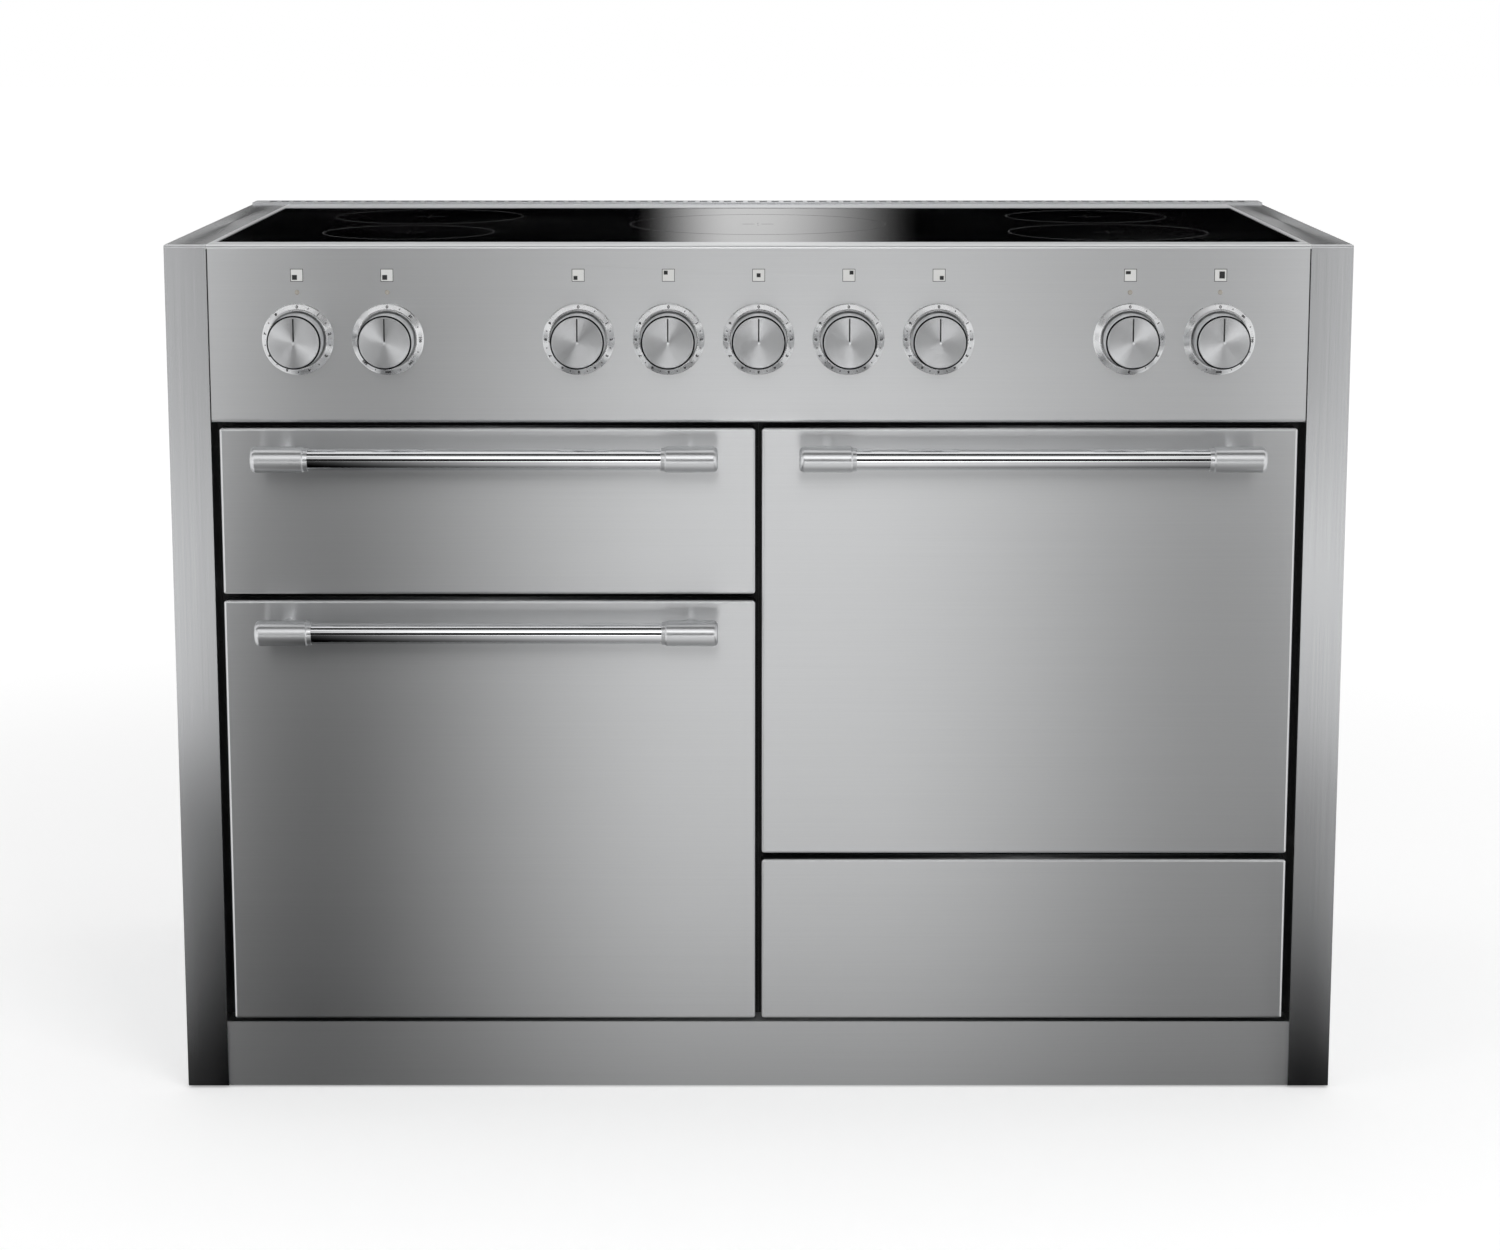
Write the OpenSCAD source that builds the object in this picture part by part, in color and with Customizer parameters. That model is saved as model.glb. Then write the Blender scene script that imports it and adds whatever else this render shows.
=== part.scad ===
// Freestanding induction range cooker with a five-zone glass hob, a glide-out grill,
// two drop-down ovens and a storage drawer, all held between two double-skinned side panels.
// X runs to the right as the user sees it, -Y faces the user, and Z is up from the floor.
// Modules measure Y from the door faces, positive towards the wall; in_place() sets them in the frame.

/* [Overall] */
// Width over both side panels
cooker_w = 1212; // [1190:1:1300]
// Height of the side panels' top edge above the floor
cooker_h = 898; // [885:1:940]
// Depth from the door faces to the back edge
cooker_d = 608; // [600:1:660]
// Width of each side panel
side_w = 43; // [38:1:55]
// Thickness of the folded stainless sheet
sheet = 1.5; // [1:0.1:2]
// Gap that keeps seated and passing pieces apart
clearance = 0.3; // [0.2:0.05:0.4]
// Radial play of a pin or shaft in its bore
running_fit = 0.05; // [0.02:0.01:0.08]
// How far the side panels and the plinth stay off the floor
floor_gap = 2; // [1:0.5:5]

/* [Fronts] */
// Height of the control panel
panel_h = 183; // [175:1:190]
// Depth of the control panel's top shelf in front of the hob
panel_top_d = 30; // [26:1:34]
// Radius of the control panel's rolled top and bottom edges
panel_edge_r = 4; // [3:0.5:6]
// Gap between the control panel and the fronts below it
panel_gap = 5.5; // [4:0.5:8]
// Gap between the two columns of fronts
centre_gap = 6; // [4:0.5:10]
// Gap between a column of fronts and its side panel
side_gap = 8; // [5:0.5:12]
// Gap between the two fronts of one column
row_gap = 6.5; // [5:0.5:9]
// Height of the grill front and of the drawer front
small_front_h = 174; // [168:1:185]
// Depth of the folded edges of every front
front_t = 20; // [19:0.5:22]
// Radius along the face edges of every front
edge_r = 3; // [2:0.5:4]
// Corner radius of every front
corner_r = 5; // [3.5:0.5:7]
// How far the front frame stands up behind the control panel
frame_rise = 20; // [14:1:24]
// Distance from the door faces to the black front frame
frame_set = 44; // [42:1:48]
// Joint between two strips of the front frame
frame_joint = 0.2; // [0.1:0.05:0.4]

/* [Plinth and feet] */
// Height of the plinth's top edge above the floor
plinth_top = 72.5; // [70:0.5:76]
// Gap between the plinth and the fronts above it
plinth_gap = 5; // [4:0.5:8]
// How far the plinth is set back from the door faces
plinth_set = 4; // [2:0.5:8]
// Depth of the plinth's folded top
plinth_fold = 30; // [24:1:36]
// Height of the base tray above the floor
base_z = 60; // [50:1:62]
// Height of the base tray's upturned edges
base_edge_h = 12; // [8:1:14]
// Diameter of a foot's pad
foot_d = 42; // [36:1:50]
// Height of a foot's pad
foot_h = 9; // [6:0.5:12]
// Thread diameter of a foot's stem
foot_stem_d = 12; // [10:1:16]
// Distance of the feet from the cooker's sides
foot_inset = 96; // [80:1:120]
// Distance of the front feet from the door faces
foot_front = 100; // [80:1:140]
// Distance of the back feet from the back edge
foot_back = 80; // [60:1:110]

/* [Cooking zones] */
// Radius of the small zones
zone_small_r = 90; // [80:1:95]
// Radius of the medium zones
zone_medium_r = 105; // [98:1:115]
// Radius of the large zone in the middle
zone_large_r = 140; // [130:1:150]
// Distance from the front or back edge of the glass to the middles of the four outer zones
zone_in = 129; // [120:1:135]
// Distance of the outer zones' middles from the middles of the columns, away from the large zone
zone_out = 95; // [90:1:110]

/* [Hob] */
// Thickness of the ceramic glass
glass_t = 4; // [3.5:0.1:6]
// Depth of the rear vent from front to back
vent_d = 37; // [34:0.5:40]
// Width of the trim beside and in front of the glass
trim_w = 5; // [4:0.5:8]
// Depth of the flat strip behind the glass
strip_d = 58; // [54:1:62]
// Width of the ledge that carries the glass
ledge_w = 10; // [8:0.5:14]
// Height of the hob frame
hob_frame_h = 13; // [11:0.5:16]
// How far the glass lies below the trim
glass_drop = 0.4; // [0.2:0.1:1]
// Height of the rear vent's box
vent_h = 15; // [12:0.5:18]
// How far the rear vent stands above the side panels
vent_rise = 2; // [1:0.5:4]
// Pitch of the vent slots
slot_pitch = 14.4; // [13:0.1:18]
// Width of a vent slot
slot_w = 9; // [6:0.5:10]
// Length of a vent slot
slot_l = 20; // [16:0.5:24]
// Thickness of an induction coil with its ferrites
coil_t = 10; // [8:0.5:14]
// Depth of the sealed induction housings
module_h = 40; // [30:1:50]

/* [Controls] */
// Distance between neighbouring knobs of one group
knob_pitch = 92; // [86:1:96]
// Distance of the middle of each outer pair from the end of the panel
knob_pair_in = 138; // [120:1:150]
// Depth of the knob centres below the top edge
knob_drop = 96.5; // [90:0.5:104]
// Outer diameter of a knob
knob_d = 55; // [50:0.5:57]
// Distance from the panel to the knob's face
knob_out = 34; // [30:0.5:40]
// Distance from the panel to the knob's back rim
knob_back = 6.8; // [6:0.2:8]
// Wall thickness of a knob's shell
knob_wall = 2.5; // [2:0.1:3.5]
// Width of the chamfer round a knob's face
knob_chamfer = 2.2; // [1:0.1:3]
// Width of the pointer line on a knob's face
pointer_w = 1.6; // [1:0.1:2.5]
// Depth of the pointer line
pointer_depth = 0.5; // [0.3:0.1:1]
// Diameter of a switch spindle
spindle_d = 6; // [5:0.5:8]
// Outer diameter of the ring round a knob
bezel_d = 73.5; // [70:0.5:78]
// Height of the ring's raised inner edge
bezel_h = 6.5; // [4:0.5:7]
// Side of a switch or thermostat body
switch_w = 44; // [36:1:50]
// Depth of a switch or thermostat body
switch_t = 30; // [26:1:40]
// Diameter of a neon lens
neon_d = 5; // [4:0.5:7]
// Height of the neon lenses above the knob centres
neon_rise = 48; // [44:0.5:54]

/* [Handles] */
// Length over a handle's ends
handle_l = 475; // [440:1:500]
// Depth of a handle's centreline below the top of its front
handle_drop = 27; // [22:0.5:34]
// How far a handle stands out from its front
handle_out = 50; // [46:0.5:56]
// Diameter of a handle's bar
bar_d = 22; // [18:0.5:24]
// Diameter of a handle's end ferrule
ferrule_d = 26.5; // [25:0.5:30]
// Length of a handle's end ferrule
ferrule_l = 58; // [50:1:66]
// Length of the ferrule's taper down to the bar
ferrule_taper = 4; // [3:0.5:6]
// Rounding of a ferrule's outer end
ferrule_r = 5; // [3:0.5:8]
// Depth to which the bar sits in each ferrule
bar_seat = 30; // [20:1:36]
// Diameter of the standoff that joins a ferrule to its front
standoff_d = 16; // [12:0.5:20]

/* [Oven cavities] */
// Inner width of an oven
cavity_w = 440; // [420:1:460]
// Inner height of an oven
cavity_h = 350; // [330:1:360]
// Inner depth of an oven
cavity_d = 430; // [420:1:450]
// Corner radius of an oven
cavity_r = 22; // [15:1:30]
// Height of an oven's floor above the bottom of its door
cavity_rise = 50; // [47:0.5:56]
// Thickness of the enamelled sheet
liner_t = 1.5; // [1:0.1:2]
// Width of a liner's front flange
flange_w = 18; // [14:0.5:22]
// Depth of the space behind the fan cover
plenum_d = 40; // [34:1:46]
// Diameter of an oven fan
fan_d = 150; // [130:1:170]
// Number of blades on an oven fan
fan_blades = 12; // [8:1:18]
// Length of a fan's blades along its shaft
blade_l = 22; // [16:1:26]
// Diameter of a fan's shaft
shaft_d = 8; // [6:0.5:10]
// Diameter of a fan motor
motor_d = 84; // [70:1:100]
// Length of a fan motor
motor_l = 44; // [36:1:56]
// Tube diameter of the heating elements
element_d = 7; // [6:0.5:9]
// Radius of the ring element round an oven fan
ring_element_r = 92; // [88:1:100]
// Wire diameter of the shelf supports
support_wire = 6; // [5:0.5:7]
// Wire diameter of a shelf's bars
shelf_wire = 4; // [3:0.5:5]
// Distance between two shelf positions
rung_pitch = 60; // [54:1:64]
// Height of the lowest shelf position above the oven floor
rung_first = 55; // [45:1:65]
// Number of shelf positions
rungs = 4; // [3:1:4]
// Distance between the bars of a shelf
shelf_pitch = 24; // [18:1:32]

/* [Doors] */
// Height of the open strip at the bottom of a door, where its hinges pass
hinge_zone = 25; // [22:1:28]
// Distance of the inner door panel's raised part from the panel's edge
plug_inset = 12; // [9:0.5:16]
// Distance of the hinge pins behind the door face
hinge_set = 8; // [8:0.25:9]
// Height of the hinge pins above the bottom of the door
hinge_rise = 8; // [8:0.25:9]
// Height of the hinge straps above the pins
hinge_strap_h = 40; // [34:1:46]
// Diameter of a hinge pin
hinge_pin_d = 6; // [5:0.5:7]
// Thickness of a fixed hinge arm
hinge_arm_t = 4; // [3:0.5:6]
// Distance of each hinge from the middle of its door
hinge_x = 200; // [180:1:230]
// Thickness of the door seal where it is pressed
seal_w = 9; // [7:0.5:12]

/* [Grill] */
// Inner height of the grill compartment
grill_h = 126; // [120:1:130]
// Height of the compartment's floor above the bottom of its front
grill_rise = 22; // [20:0.5:26]
// Depth of the grill pan
pan_h = 32; // [26:1:38]
// Length of the grill pan from front to back
pan_d = 330; // [300:1:350]
// Wire diameter of the trivet
trivet_wire = 4; // [3:0.5:5]
// Distance between the trivet's bars
trivet_pitch = 20; // [16:1:26]

/* [Drawer] */
// Inner width of the drawer housing
housing_w = 500; // [480:1:516]
// Inner height of the drawer housing
housing_h = 142; // [136:1:146]
// Height of the housing's floor above the bottom of the drawer front
housing_rise = 15; // [13:0.5:18]
// Height of the drawer box's walls
drawer_wall_h = 96; // [80:1:104]
// Length of the drawer box from front to back
drawer_d = 430; // [400:1:440]

/* [Runners] */
// Length of the fixed rails
rail_l = 400; // [380:1:410]
// Height of the fixed rails
rail_h = 36; // [32:1:40]
// Room that a runner takes up beside a drawer
runner_t = 12; // [11:0.5:14]
// Sheet thickness of the rails
rail_sheet = 1.2; // [1:0.1:1.4]
// Play between two members of a runner
rail_play = 0.4; // [0.3:0.05:0.5]

/* [Back] */
// Distance of the back panel from the back edge
back_set = 23; // [20:1:30]
// Width of the terminal cover
terminal_w = 130; // [110:1:160]
// Height of the terminal cover
terminal_h = 96; // [80:1:120]
// Bore of the cable inlet
inlet_d = 22; // [16:1:26]
// Number of louvres in one row of the back panel
louvres = 12; // [8:1:14]

/* [Hidden] */
$fn = 96;

stainless = [0.74, 0.74, 0.75];
polished = [0.86, 0.87, 0.88];
black_enamel = [0.07, 0.07, 0.08];
galvanised = [0.62, 0.65, 0.67];
black_plastic = [0.12, 0.12, 0.13];
copper = [0.72, 0.44, 0.26];

// Y of the door faces in the frame, whose origin is under the middle of the overall depth
front_y = (handle_out - cooker_d) / 2;

// Heights and widths of the two columns of fronts
inner_w = cooker_w - 2 * side_w;
inner_x = inner_w / 2;
column_w = inner_x - side_gap - centre_gap / 2;
column_x = (centre_gap + column_w) / 2;
column_top = cooker_h - panel_h - panel_gap;
column_bottom = plinth_top + plinth_gap;
door_h = column_top - column_bottom - small_front_h - row_gap;
grill_bottom = column_top - small_front_h;
left_door_bottom = column_bottom;
right_door_bottom = column_top - door_h;
drawer_bottom = column_bottom;
frame_bottom = plinth_top - 10;
frame_top = column_top + panel_gap + frame_rise;

// The wires that join a shelf's front and back are a little thinner than these
shelf_side_r = support_wire / 2 - 0.5;

// Depths, counted from the door faces
frame_back = frame_set + sheet;
front_back = front_t - sheet;
door_back = frame_set - 6;
back_y = cooker_d - back_set;
glass_y = panel_top_d + trim_w;
vent_y = cooker_d - vent_d;
strip_y = vent_y - strip_d;
glass_d = strip_y - glass_y;
vent_z = cooker_h + vent_rise - vent_h;
glass_z = cooker_h - glass_drop - glass_t;
deck_z = glass_z - clearance - coil_t;
frame_under = cooker_h - hob_frame_h;
glass_w = inner_w - 2 * trim_w;

// Cavities: middle in X, floor height, and rail height in each sliding compartment
left_cavity_z = left_door_bottom + cavity_rise;
right_cavity_z = right_door_bottom + cavity_rise;
grill_z = grill_bottom + grill_rise;
housing_z = drawer_bottom + housing_rise;
grill_rail_z = grill_z + rail_h / 2 + 10;
drawer_rail_z = housing_z + rail_h / 2 + 30;
rail_y = frame_back + 3;
wall_y = frame_back + cavity_d;
fan_hub_d = shaft_d + 14;
fan_gap = 6;

// Knob centres along the panel: a pair, five hob zones and another pair
knob_z = cooker_h - knob_drop;
pair_at = [-knob_pitch / 2, knob_pitch / 2];
knob_pair_x = inner_x - knob_pair_in;
knob_xs = concat(
    [for (p = pair_at) p - knob_pair_x],
    [for (i = [-2:2]) i * knob_pitch],
    [for (p = pair_at) p + knob_pair_x]
);
neon_xs = concat([for (p = pair_at) p - knob_pair_x], [for (p = pair_at) p + knob_pair_x]);
knob_r = knob_d / 2;
spindle_r = spindle_d / 2;

// Handle measures
handle_y = ferrule_d / 2 - handle_out;
ferrule_x = handle_l / 2 - ferrule_l;

// Moves a piece from door-face measures into the frame.
module in_place() {
    translate([0, front_y, 0]) children();
}

// Extrudes an XZ outline towards the wall, from y0 over a length.
module along_y(y0, length) {
    translate([0, y0 + length, 0]) rotate([90, 0, 0]) linear_extrude(length) children();
}

// Extrudes a YZ outline to the right, from x0 over a length.
module along_x(x0, length) {
    translate([x0, 0, 0]) rotate([90, 0, 90]) linear_extrude(length) children();
}

// Turns a piece so that its Z points out of the front, at a place on the panel.
module outwards(x, z) {
    translate([x, 0, z]) rotate([90, 0, 0]) children();
}

// A block given by its lower corner and its upper corner.
module block(from, to) {
    translate(from) cube(to - from);
}

// A rectangle with round corners, from its lower left corner.
module round_rect(w, h, r) {
    translate([r, 0]) square([w - 2 * r, h]);
    translate([0, r]) square([w, h - 2 * r]);
    for (x = [r, w - r], y = [r, h - r]) translate([x, y]) circle(r);
}

// A rectangle whose two corners at low X are round.
module front_round_rect(d, h, r) {
    translate([r, 0]) square([d - r, h]);
    translate([0, r]) square([r, h - 2 * r]);
    for (y = [r, h - r]) translate([r, y]) circle(r);
}

// The full body of a front: round corners, and round edges all round its face.
module front_body(w, d, h, r_edge, r_corner) {
    intersection() {
        along_y(0, d) translate([-w / 2, 0]) round_rect(w, h, r_corner);
        along_x(-w / 2, w) front_round_rect(d, h, r_edge);
        rotate([0, 0, 90]) translate([0, -w / 2, 0]) linear_extrude(h) front_round_rect(d, w, r_edge);
    }
}

// A folded stainless front, hollow and open at the back.
module front_skin(h) {
    difference() {
        front_body(column_w, front_t, h, edge_r, corner_r);
        translate([0, sheet, sheet])
            front_body(column_w - 2 * sheet, front_t, h - 2 * sheet, edge_r - sheet / 2, corner_r - sheet);
    }
}

// A spindle or bore with a flat, so that a knob turns with its spindle.
module d_shaft(r, length) {
    difference() {
        cylinder(r = r, h = length);
        translate([-r, r * 0.6, -1]) cube([2 * r, r, length + 2]);
    }
}

// One side panel, a folded shell open towards the ovens, drawn for the left side.
module side_shell() {
    x0 = -cooker_w / 2;
    h = cooker_h - floor_gap;
    difference() {
        intersection() {
            along_y(0, cooker_d) translate([x0, floor_gap]) round_rect(side_w, h, sheet / 2);
            along_x(x0, side_w) translate([0, floor_gap]) front_round_rect(cooker_d, h, edge_r);
        }
        block([x0 + sheet, sheet, floor_gap + sheet],
            [x0 + side_w - sheet, cooker_d - sheet, cooker_h - sheet]);
        block([x0 + side_w - 2 * sheet, frame_set + 60, floor_gap + 40],
            [x0 + side_w + 1, back_y - 20, cooker_h - hob_frame_h - 20]);
        block([x0 - 1, vent_y, vent_z], [x0 + side_w + 1, cooker_d + 1, cooker_h + 1]);
    }
}

module side_panel_left() {
    color(stainless) in_place() side_shell();
}

module side_panel_right() {
    color(stainless) in_place() mirror([1, 0, 0]) side_shell();
}

// The chassis floor, with its edges turned up between the side panels.
module base_tray() {
    hole_pitch = (back_y - frame_back) / 4;
    color(galvanised) in_place() difference() {
        block([-inner_x, frame_back, base_z], [inner_x, back_y, base_z + base_edge_h]);
        block([-inner_x + sheet, frame_back + sheet, base_z + sheet],
            [inner_x - sheet, back_y - sheet, base_z + base_edge_h + 1]);
        for (x = [-1, 1], i = [0:2])
            translate([x * inner_x / 2, frame_back + (i + 1) * hole_pitch, base_z - 1])
                cylinder(d = 60, h = sheet + 2);
    }
}

module louvre(x, z) {
    block([x - 30, back_y - 1, z], [x + 30, back_y + sheet + 1, z + 5]);
}

// The back panel, with two rows of louvres that cool the hob and the ovens.
module back_panel() {
    color(galvanised) in_place() difference() {
        block([-inner_x, back_y, base_z], [inner_x, back_y + sheet, vent_z]);
        for (i = [0:louvres - 1], z = [cooker_h - 120, cooker_h - 100, base_z + 60, base_z + 80])
            louvre((i - (louvres - 1) / 2) * 78, z);
    }
}

// The cover over the supply terminals, with its cable inlet at the bottom.
module terminal_cover() {
    x = -inner_x + 90;
    z = base_z + 130;
    depth = back_set - sheet - 2;
    color(galvanised) in_place() difference() {
        union() {
            block([x, back_y + sheet, z], [x + terminal_w, back_y + sheet + depth, z + terminal_h]);
            translate([x + terminal_w / 2, back_y + sheet + depth / 2, z - 8])
                cylinder(r = min(depth / 2, inlet_d / 2), h = 8);
        }
        block([x + sheet, back_y, z + sheet],
            [x + terminal_w - sheet, back_y + depth, z + terminal_h - sheet]);
        translate([x + terminal_w / 2, back_y + sheet + depth / 2, z - 9])
            cylinder(r = min(depth / 2, inlet_d / 2) - sheet, h = 9 + 2 * sheet);
    }
}

module plinth() {
    color(stainless) in_place() difference() {
        block([-inner_x, plinth_set, floor_gap], [inner_x, plinth_set + plinth_fold, plinth_top]);
        block([-inner_x - 1, plinth_set + sheet, floor_gap - 1],
            [inner_x + 1, plinth_set + plinth_fold + 1, plinth_top - sheet]);
    }
}

module levelling_feet() {
    color(black_plastic) in_place()
        for (x = [-1, 1], y = [foot_front, cooker_d - foot_back])
            translate([x * (cooker_w / 2 - foot_inset), y, 0]) {
                rotate_extrude() polygon([
                    [0, 0], [foot_d / 2 - 2, 0], [foot_d / 2, 2], [foot_d / 2, foot_h - 3],
                    [foot_stem_d / 2 + 3, foot_h], [foot_stem_d / 2 + 3, foot_h + 6],
                    [foot_stem_d / 2, foot_h + 6], [foot_stem_d / 2, base_z], [0, base_z]
                ]);
                translate([0, 0, base_z - 8]) cylinder(d = foot_stem_d + 12, h = 8, $fn = 6);
            }
}

// The inner outline of a cavity, with its middle at x and its floor at z.
module cavity_outline(x, z, w, h, r) {
    translate([x - w / 2, z]) round_rect(w, h, r);
}

// A fixed hinge arm: it reaches from the front frame into the bottom of a door.
module hinge_arm(x, door_bottom) {
    y = hinge_set;
    z = door_bottom + hinge_rise;
    eye_r = hinge_set - sheet - 0.5;
    along_x(x - hinge_arm_t / 2, hinge_arm_t) difference() {
        union() {
            translate([y, z]) circle(eye_r);
            translate([y, z - 1]) square([frame_set - y, 10]);
            translate([frame_set - 8, z - 1]) square([8, 24]);
        }
        translate([y, z]) circle(hinge_pin_d / 2 + running_fit);
    }
}

// One strip of the front frame. A narrow joint parts it from the next strip.
module frame_strip(x0, x1, z0, z1) {
    part = frame_joint / 2;
    block([x0 + part, frame_set, z0 + part], [x1 - part, frame_back, z1 - part]);
}

// The strips of one column: rails across it, and a post on either side of each cavity.
// The cavities come from the bottom up, each as its bottom, its width and its height.
module column_strips(side, cavities) {
    x = side * column_x;
    x0 = min(0, side * inner_x);
    x1 = max(0, side * inner_x);
    rail_bottoms = concat([frame_bottom], [for (c = cavities) c[0] + c[2]]);
    rail_tops = concat([for (c = cavities) c[0]], [frame_top]);
    for (i = [0:len(cavities)])
        frame_strip(x0, x1, rail_bottoms[i], rail_tops[i]);
    for (c = cavities) {
        frame_strip(x0, x - c[1] / 2, c[0], c[0] + c[2]);
        frame_strip(x + c[1] / 2, x1, c[0], c[0] + c[2]);
    }
}

// The black front frame of welded strips. It carries the cavities, the seals and the hinge arms.
module front_frame() {
    color(black_enamel) in_place() {
        column_strips(-1, [[left_cavity_z, cavity_w, cavity_h], [grill_z, cavity_w, grill_h]]);
        column_strips(1, [[housing_z, housing_w, housing_h], [right_cavity_z, cavity_w, cavity_h]]);
        for (side = [-1, 1]) {
            hinge_arm(-column_x + side * hinge_x, left_door_bottom);
            hinge_arm(column_x + side * hinge_x, right_door_bottom);
        }
    }
}

// A folded or enamelled box with a front flange, open at the front.
module cavity_liner(x, z, w, h, d, r) {
    t = liner_t;
    along_y(frame_back, t) difference() {
        translate([x - w / 2 - flange_w, z - flange_w / 2]) square([w + 2 * flange_w, h + flange_w]);
        cavity_outline(x, z, w, h, r);
    }
    along_y(frame_back, d) difference() {
        cavity_outline(x, z - t, w + 2 * t, h + 2 * t, r + t);
        cavity_outline(x, z, w, h, r);
    }
    along_y(frame_back + d, t) cavity_outline(x, z - t, w + 2 * t, h + 2 * t, r + t);
}

// An oven liner, with the bush of its fan shaft in the back wall.
module oven_liner(x, z) {
    fan_z = z + cavity_h / 2;
    color(black_enamel) in_place() difference() {
        union() {
            cavity_liner(x, z, cavity_w, cavity_h, cavity_d, cavity_r);
            translate([x, wall_y, fan_z]) rotate([-90, 0, 0]) cylinder(d = fan_hub_d + 8, h = fan_gap);
        }
        translate([x, wall_y - 1, fan_z]) rotate([-90, 0, 0])
            cylinder(r = shaft_d / 2 + running_fit, h = fan_gap + 2);
    }
}

module left_oven_liner() {
    oven_liner(-column_x, left_cavity_z);
}

module right_oven_liner() {
    oven_liner(column_x, right_cavity_z);
}

module grill_liner() {
    color(black_enamel) in_place()
        cavity_liner(-column_x, grill_z, cavity_w, grill_h, cavity_d, corner_r);
}

module drawer_housing() {
    color(galvanised) in_place()
        cavity_liner(column_x, housing_z, housing_w, housing_h, cavity_d + 20, corner_r);
}

// The soft seals round the two oven mouths, seated on the front frame.
module oven_seals() {
    h = frame_set - door_back - clearance;
    color(black_plastic) in_place()
        for (m = [[-column_x, left_cavity_z], [column_x, right_cavity_z]])
            along_y(frame_set - h, h) difference() {
                cavity_outline(m[0], m[1] - seal_w - 3, cavity_w + 2 * seal_w + 6,
                    cavity_h + 2 * seal_w + 6, cavity_r + seal_w + 3);
                cavity_outline(m[0], m[1] - 3, cavity_w + 6, cavity_h + 6, cavity_r + 3);
            }
}

// The control panel: a folded fascia whose top edge rolls back to the hob.
module control_panel() {
    r = panel_edge_r;
    lip = 20;
    color(stainless) in_place() difference() {
        along_x(-inner_x, inner_w) translate([0, cooker_h - panel_h]) difference() {
            front_round_rect(panel_top_d, panel_h, r);
            translate([sheet, sheet])
                front_round_rect(panel_top_d - sheet + 1, panel_h - 2 * sheet, r - sheet / 2);
            translate([lip, -1]) square([panel_top_d, panel_h - 2 * sheet]);
        }
        for (x = knob_xs) translate([0, sheet + 1, 0]) outwards(x, knob_z)
            cylinder(d = spindle_d + 6, h = sheet + 2);
        for (x = neon_xs) translate([0, sheet + 1, 0]) outwards(x, knob_z + neon_rise)
            cylinder(d = neon_d, h = sheet + 2);
    }
}

// The nine conical rings round the knobs, each with a raised inner edge.
module knob_bezels() {
    outer = bezel_d / 2;
    inner = knob_r + 1.5;
    color(stainless) in_place()
        for (x = knob_xs) outwards(x, knob_z) rotate_extrude() polygon([
            [inner, 0], [outer, 0], [outer, 1], [outer - 1, 1.8], [inner + 2.4, bezel_h - 0.6],
            [inner + 1.6, bezel_h], [inner + 0.6, bezel_h], [inner, bezel_h - 0.6]
        ]);
}

// One rotary knob with its spindle: a turned cap, a chamfered face and a pointer line.
module knob(i) {
    boss = spindle_r + 4;
    cap_in = knob_out - knob_wall;
    depth = cap_in - 2;
    in_place() outwards(knob_xs[i], knob_z) {
        color(stainless) difference() {
            rotate_extrude() polygon([
                [0, knob_out - 0.3], [knob_r - 8, knob_out], [knob_r - knob_chamfer, knob_out],
                [knob_r, knob_out - knob_chamfer], [knob_r, knob_back], [knob_r - knob_wall, knob_back],
                [knob_r - knob_wall, cap_in], [boss, cap_in], [boss, 4], [0, 4]
            ]);
            translate([0, 0, 3]) d_shaft(spindle_r + running_fit, depth - 3 + clearance);
            translate([-pointer_w / 2, 1, knob_out - pointer_depth - 0.3])
                cube([pointer_w, knob_r - 3, pointer_depth + 2]);
        }
        color(galvanised) translate([0, 0, -switch_t * 0.7]) d_shaft(spindle_r, switch_t * 0.7 + depth);
    }
}

module left_oven_function_knob() {
    knob(0);
}

module left_oven_temperature_knob() {
    knob(1);
}

module hob_zone_1_knob() {
    knob(2);
}

module hob_zone_2_knob() {
    knob(3);
}

module hob_zone_3_knob() {
    knob(4);
}

module hob_zone_4_knob() {
    knob(5);
}

module hob_zone_5_knob() {
    knob(6);
}

module grill_knob() {
    knob(7);
}

module right_oven_temperature_knob() {
    knob(8);
}

// The rotary switches and thermostats behind the panel, each with a bush for its spindle.
module control_switches() {
    color(black_plastic) in_place()
        for (x = knob_xs) translate([x, sheet, knob_z]) rotate([-90, 0, 0]) difference() {
            union() {
                translate([-switch_w / 2, -switch_w / 2, 4]) cube([switch_w, switch_w, switch_t - 4]);
                cylinder(d = spindle_d + 14, h = 5);
            }
            translate([0, 0, -1]) cylinder(r = spindle_r + running_fit, h = switch_t * 0.7 + 2);
        }
}

module neon_lenses() {
    color([0.5, 0.12, 0.08]) in_place()
        for (x = neon_xs) translate([0, sheet + 3, 0]) outwards(x, knob_z + neon_rise)
            rotate_extrude() polygon([
                [0, 0], [neon_d / 2 + 1.5, 0], [neon_d / 2 + 1.5, 3], [neon_d / 2 - running_fit, 3],
                [neon_d / 2 - running_fit, sheet + 3.4], [neon_d / 2 - 0.8, sheet + 4], [0, sheet + 4.2]
            ]);
}

// The black ceramic glass, with a bevel along its top edges.
module hob_glass() {
    gap = clearance / 2;
    color([0.03, 0.03, 0.035]) in_place() intersection() {
        along_y(glass_y + gap, glass_d - 2 * gap) translate([0, glass_z]) polygon([
            [-glass_w / 2 + gap, 0], [glass_w / 2 - gap, 0], [glass_w / 2 - gap, glass_t - 1],
            [glass_w / 2 - gap - 1, glass_t], [-glass_w / 2 + gap + 1, glass_t],
            [-glass_w / 2 + gap, glass_t - 1]
        ]);
        along_x(-glass_w / 2, glass_w) translate([glass_y + gap, glass_z]) polygon([
            [0, 0], [glass_d - 2 * gap, 0], [glass_d - 2 * gap, glass_t - 1],
            [glass_d - 2 * gap - 1, glass_t], [1, glass_t], [0, glass_t - 1]
        ]);
    }
}

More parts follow.
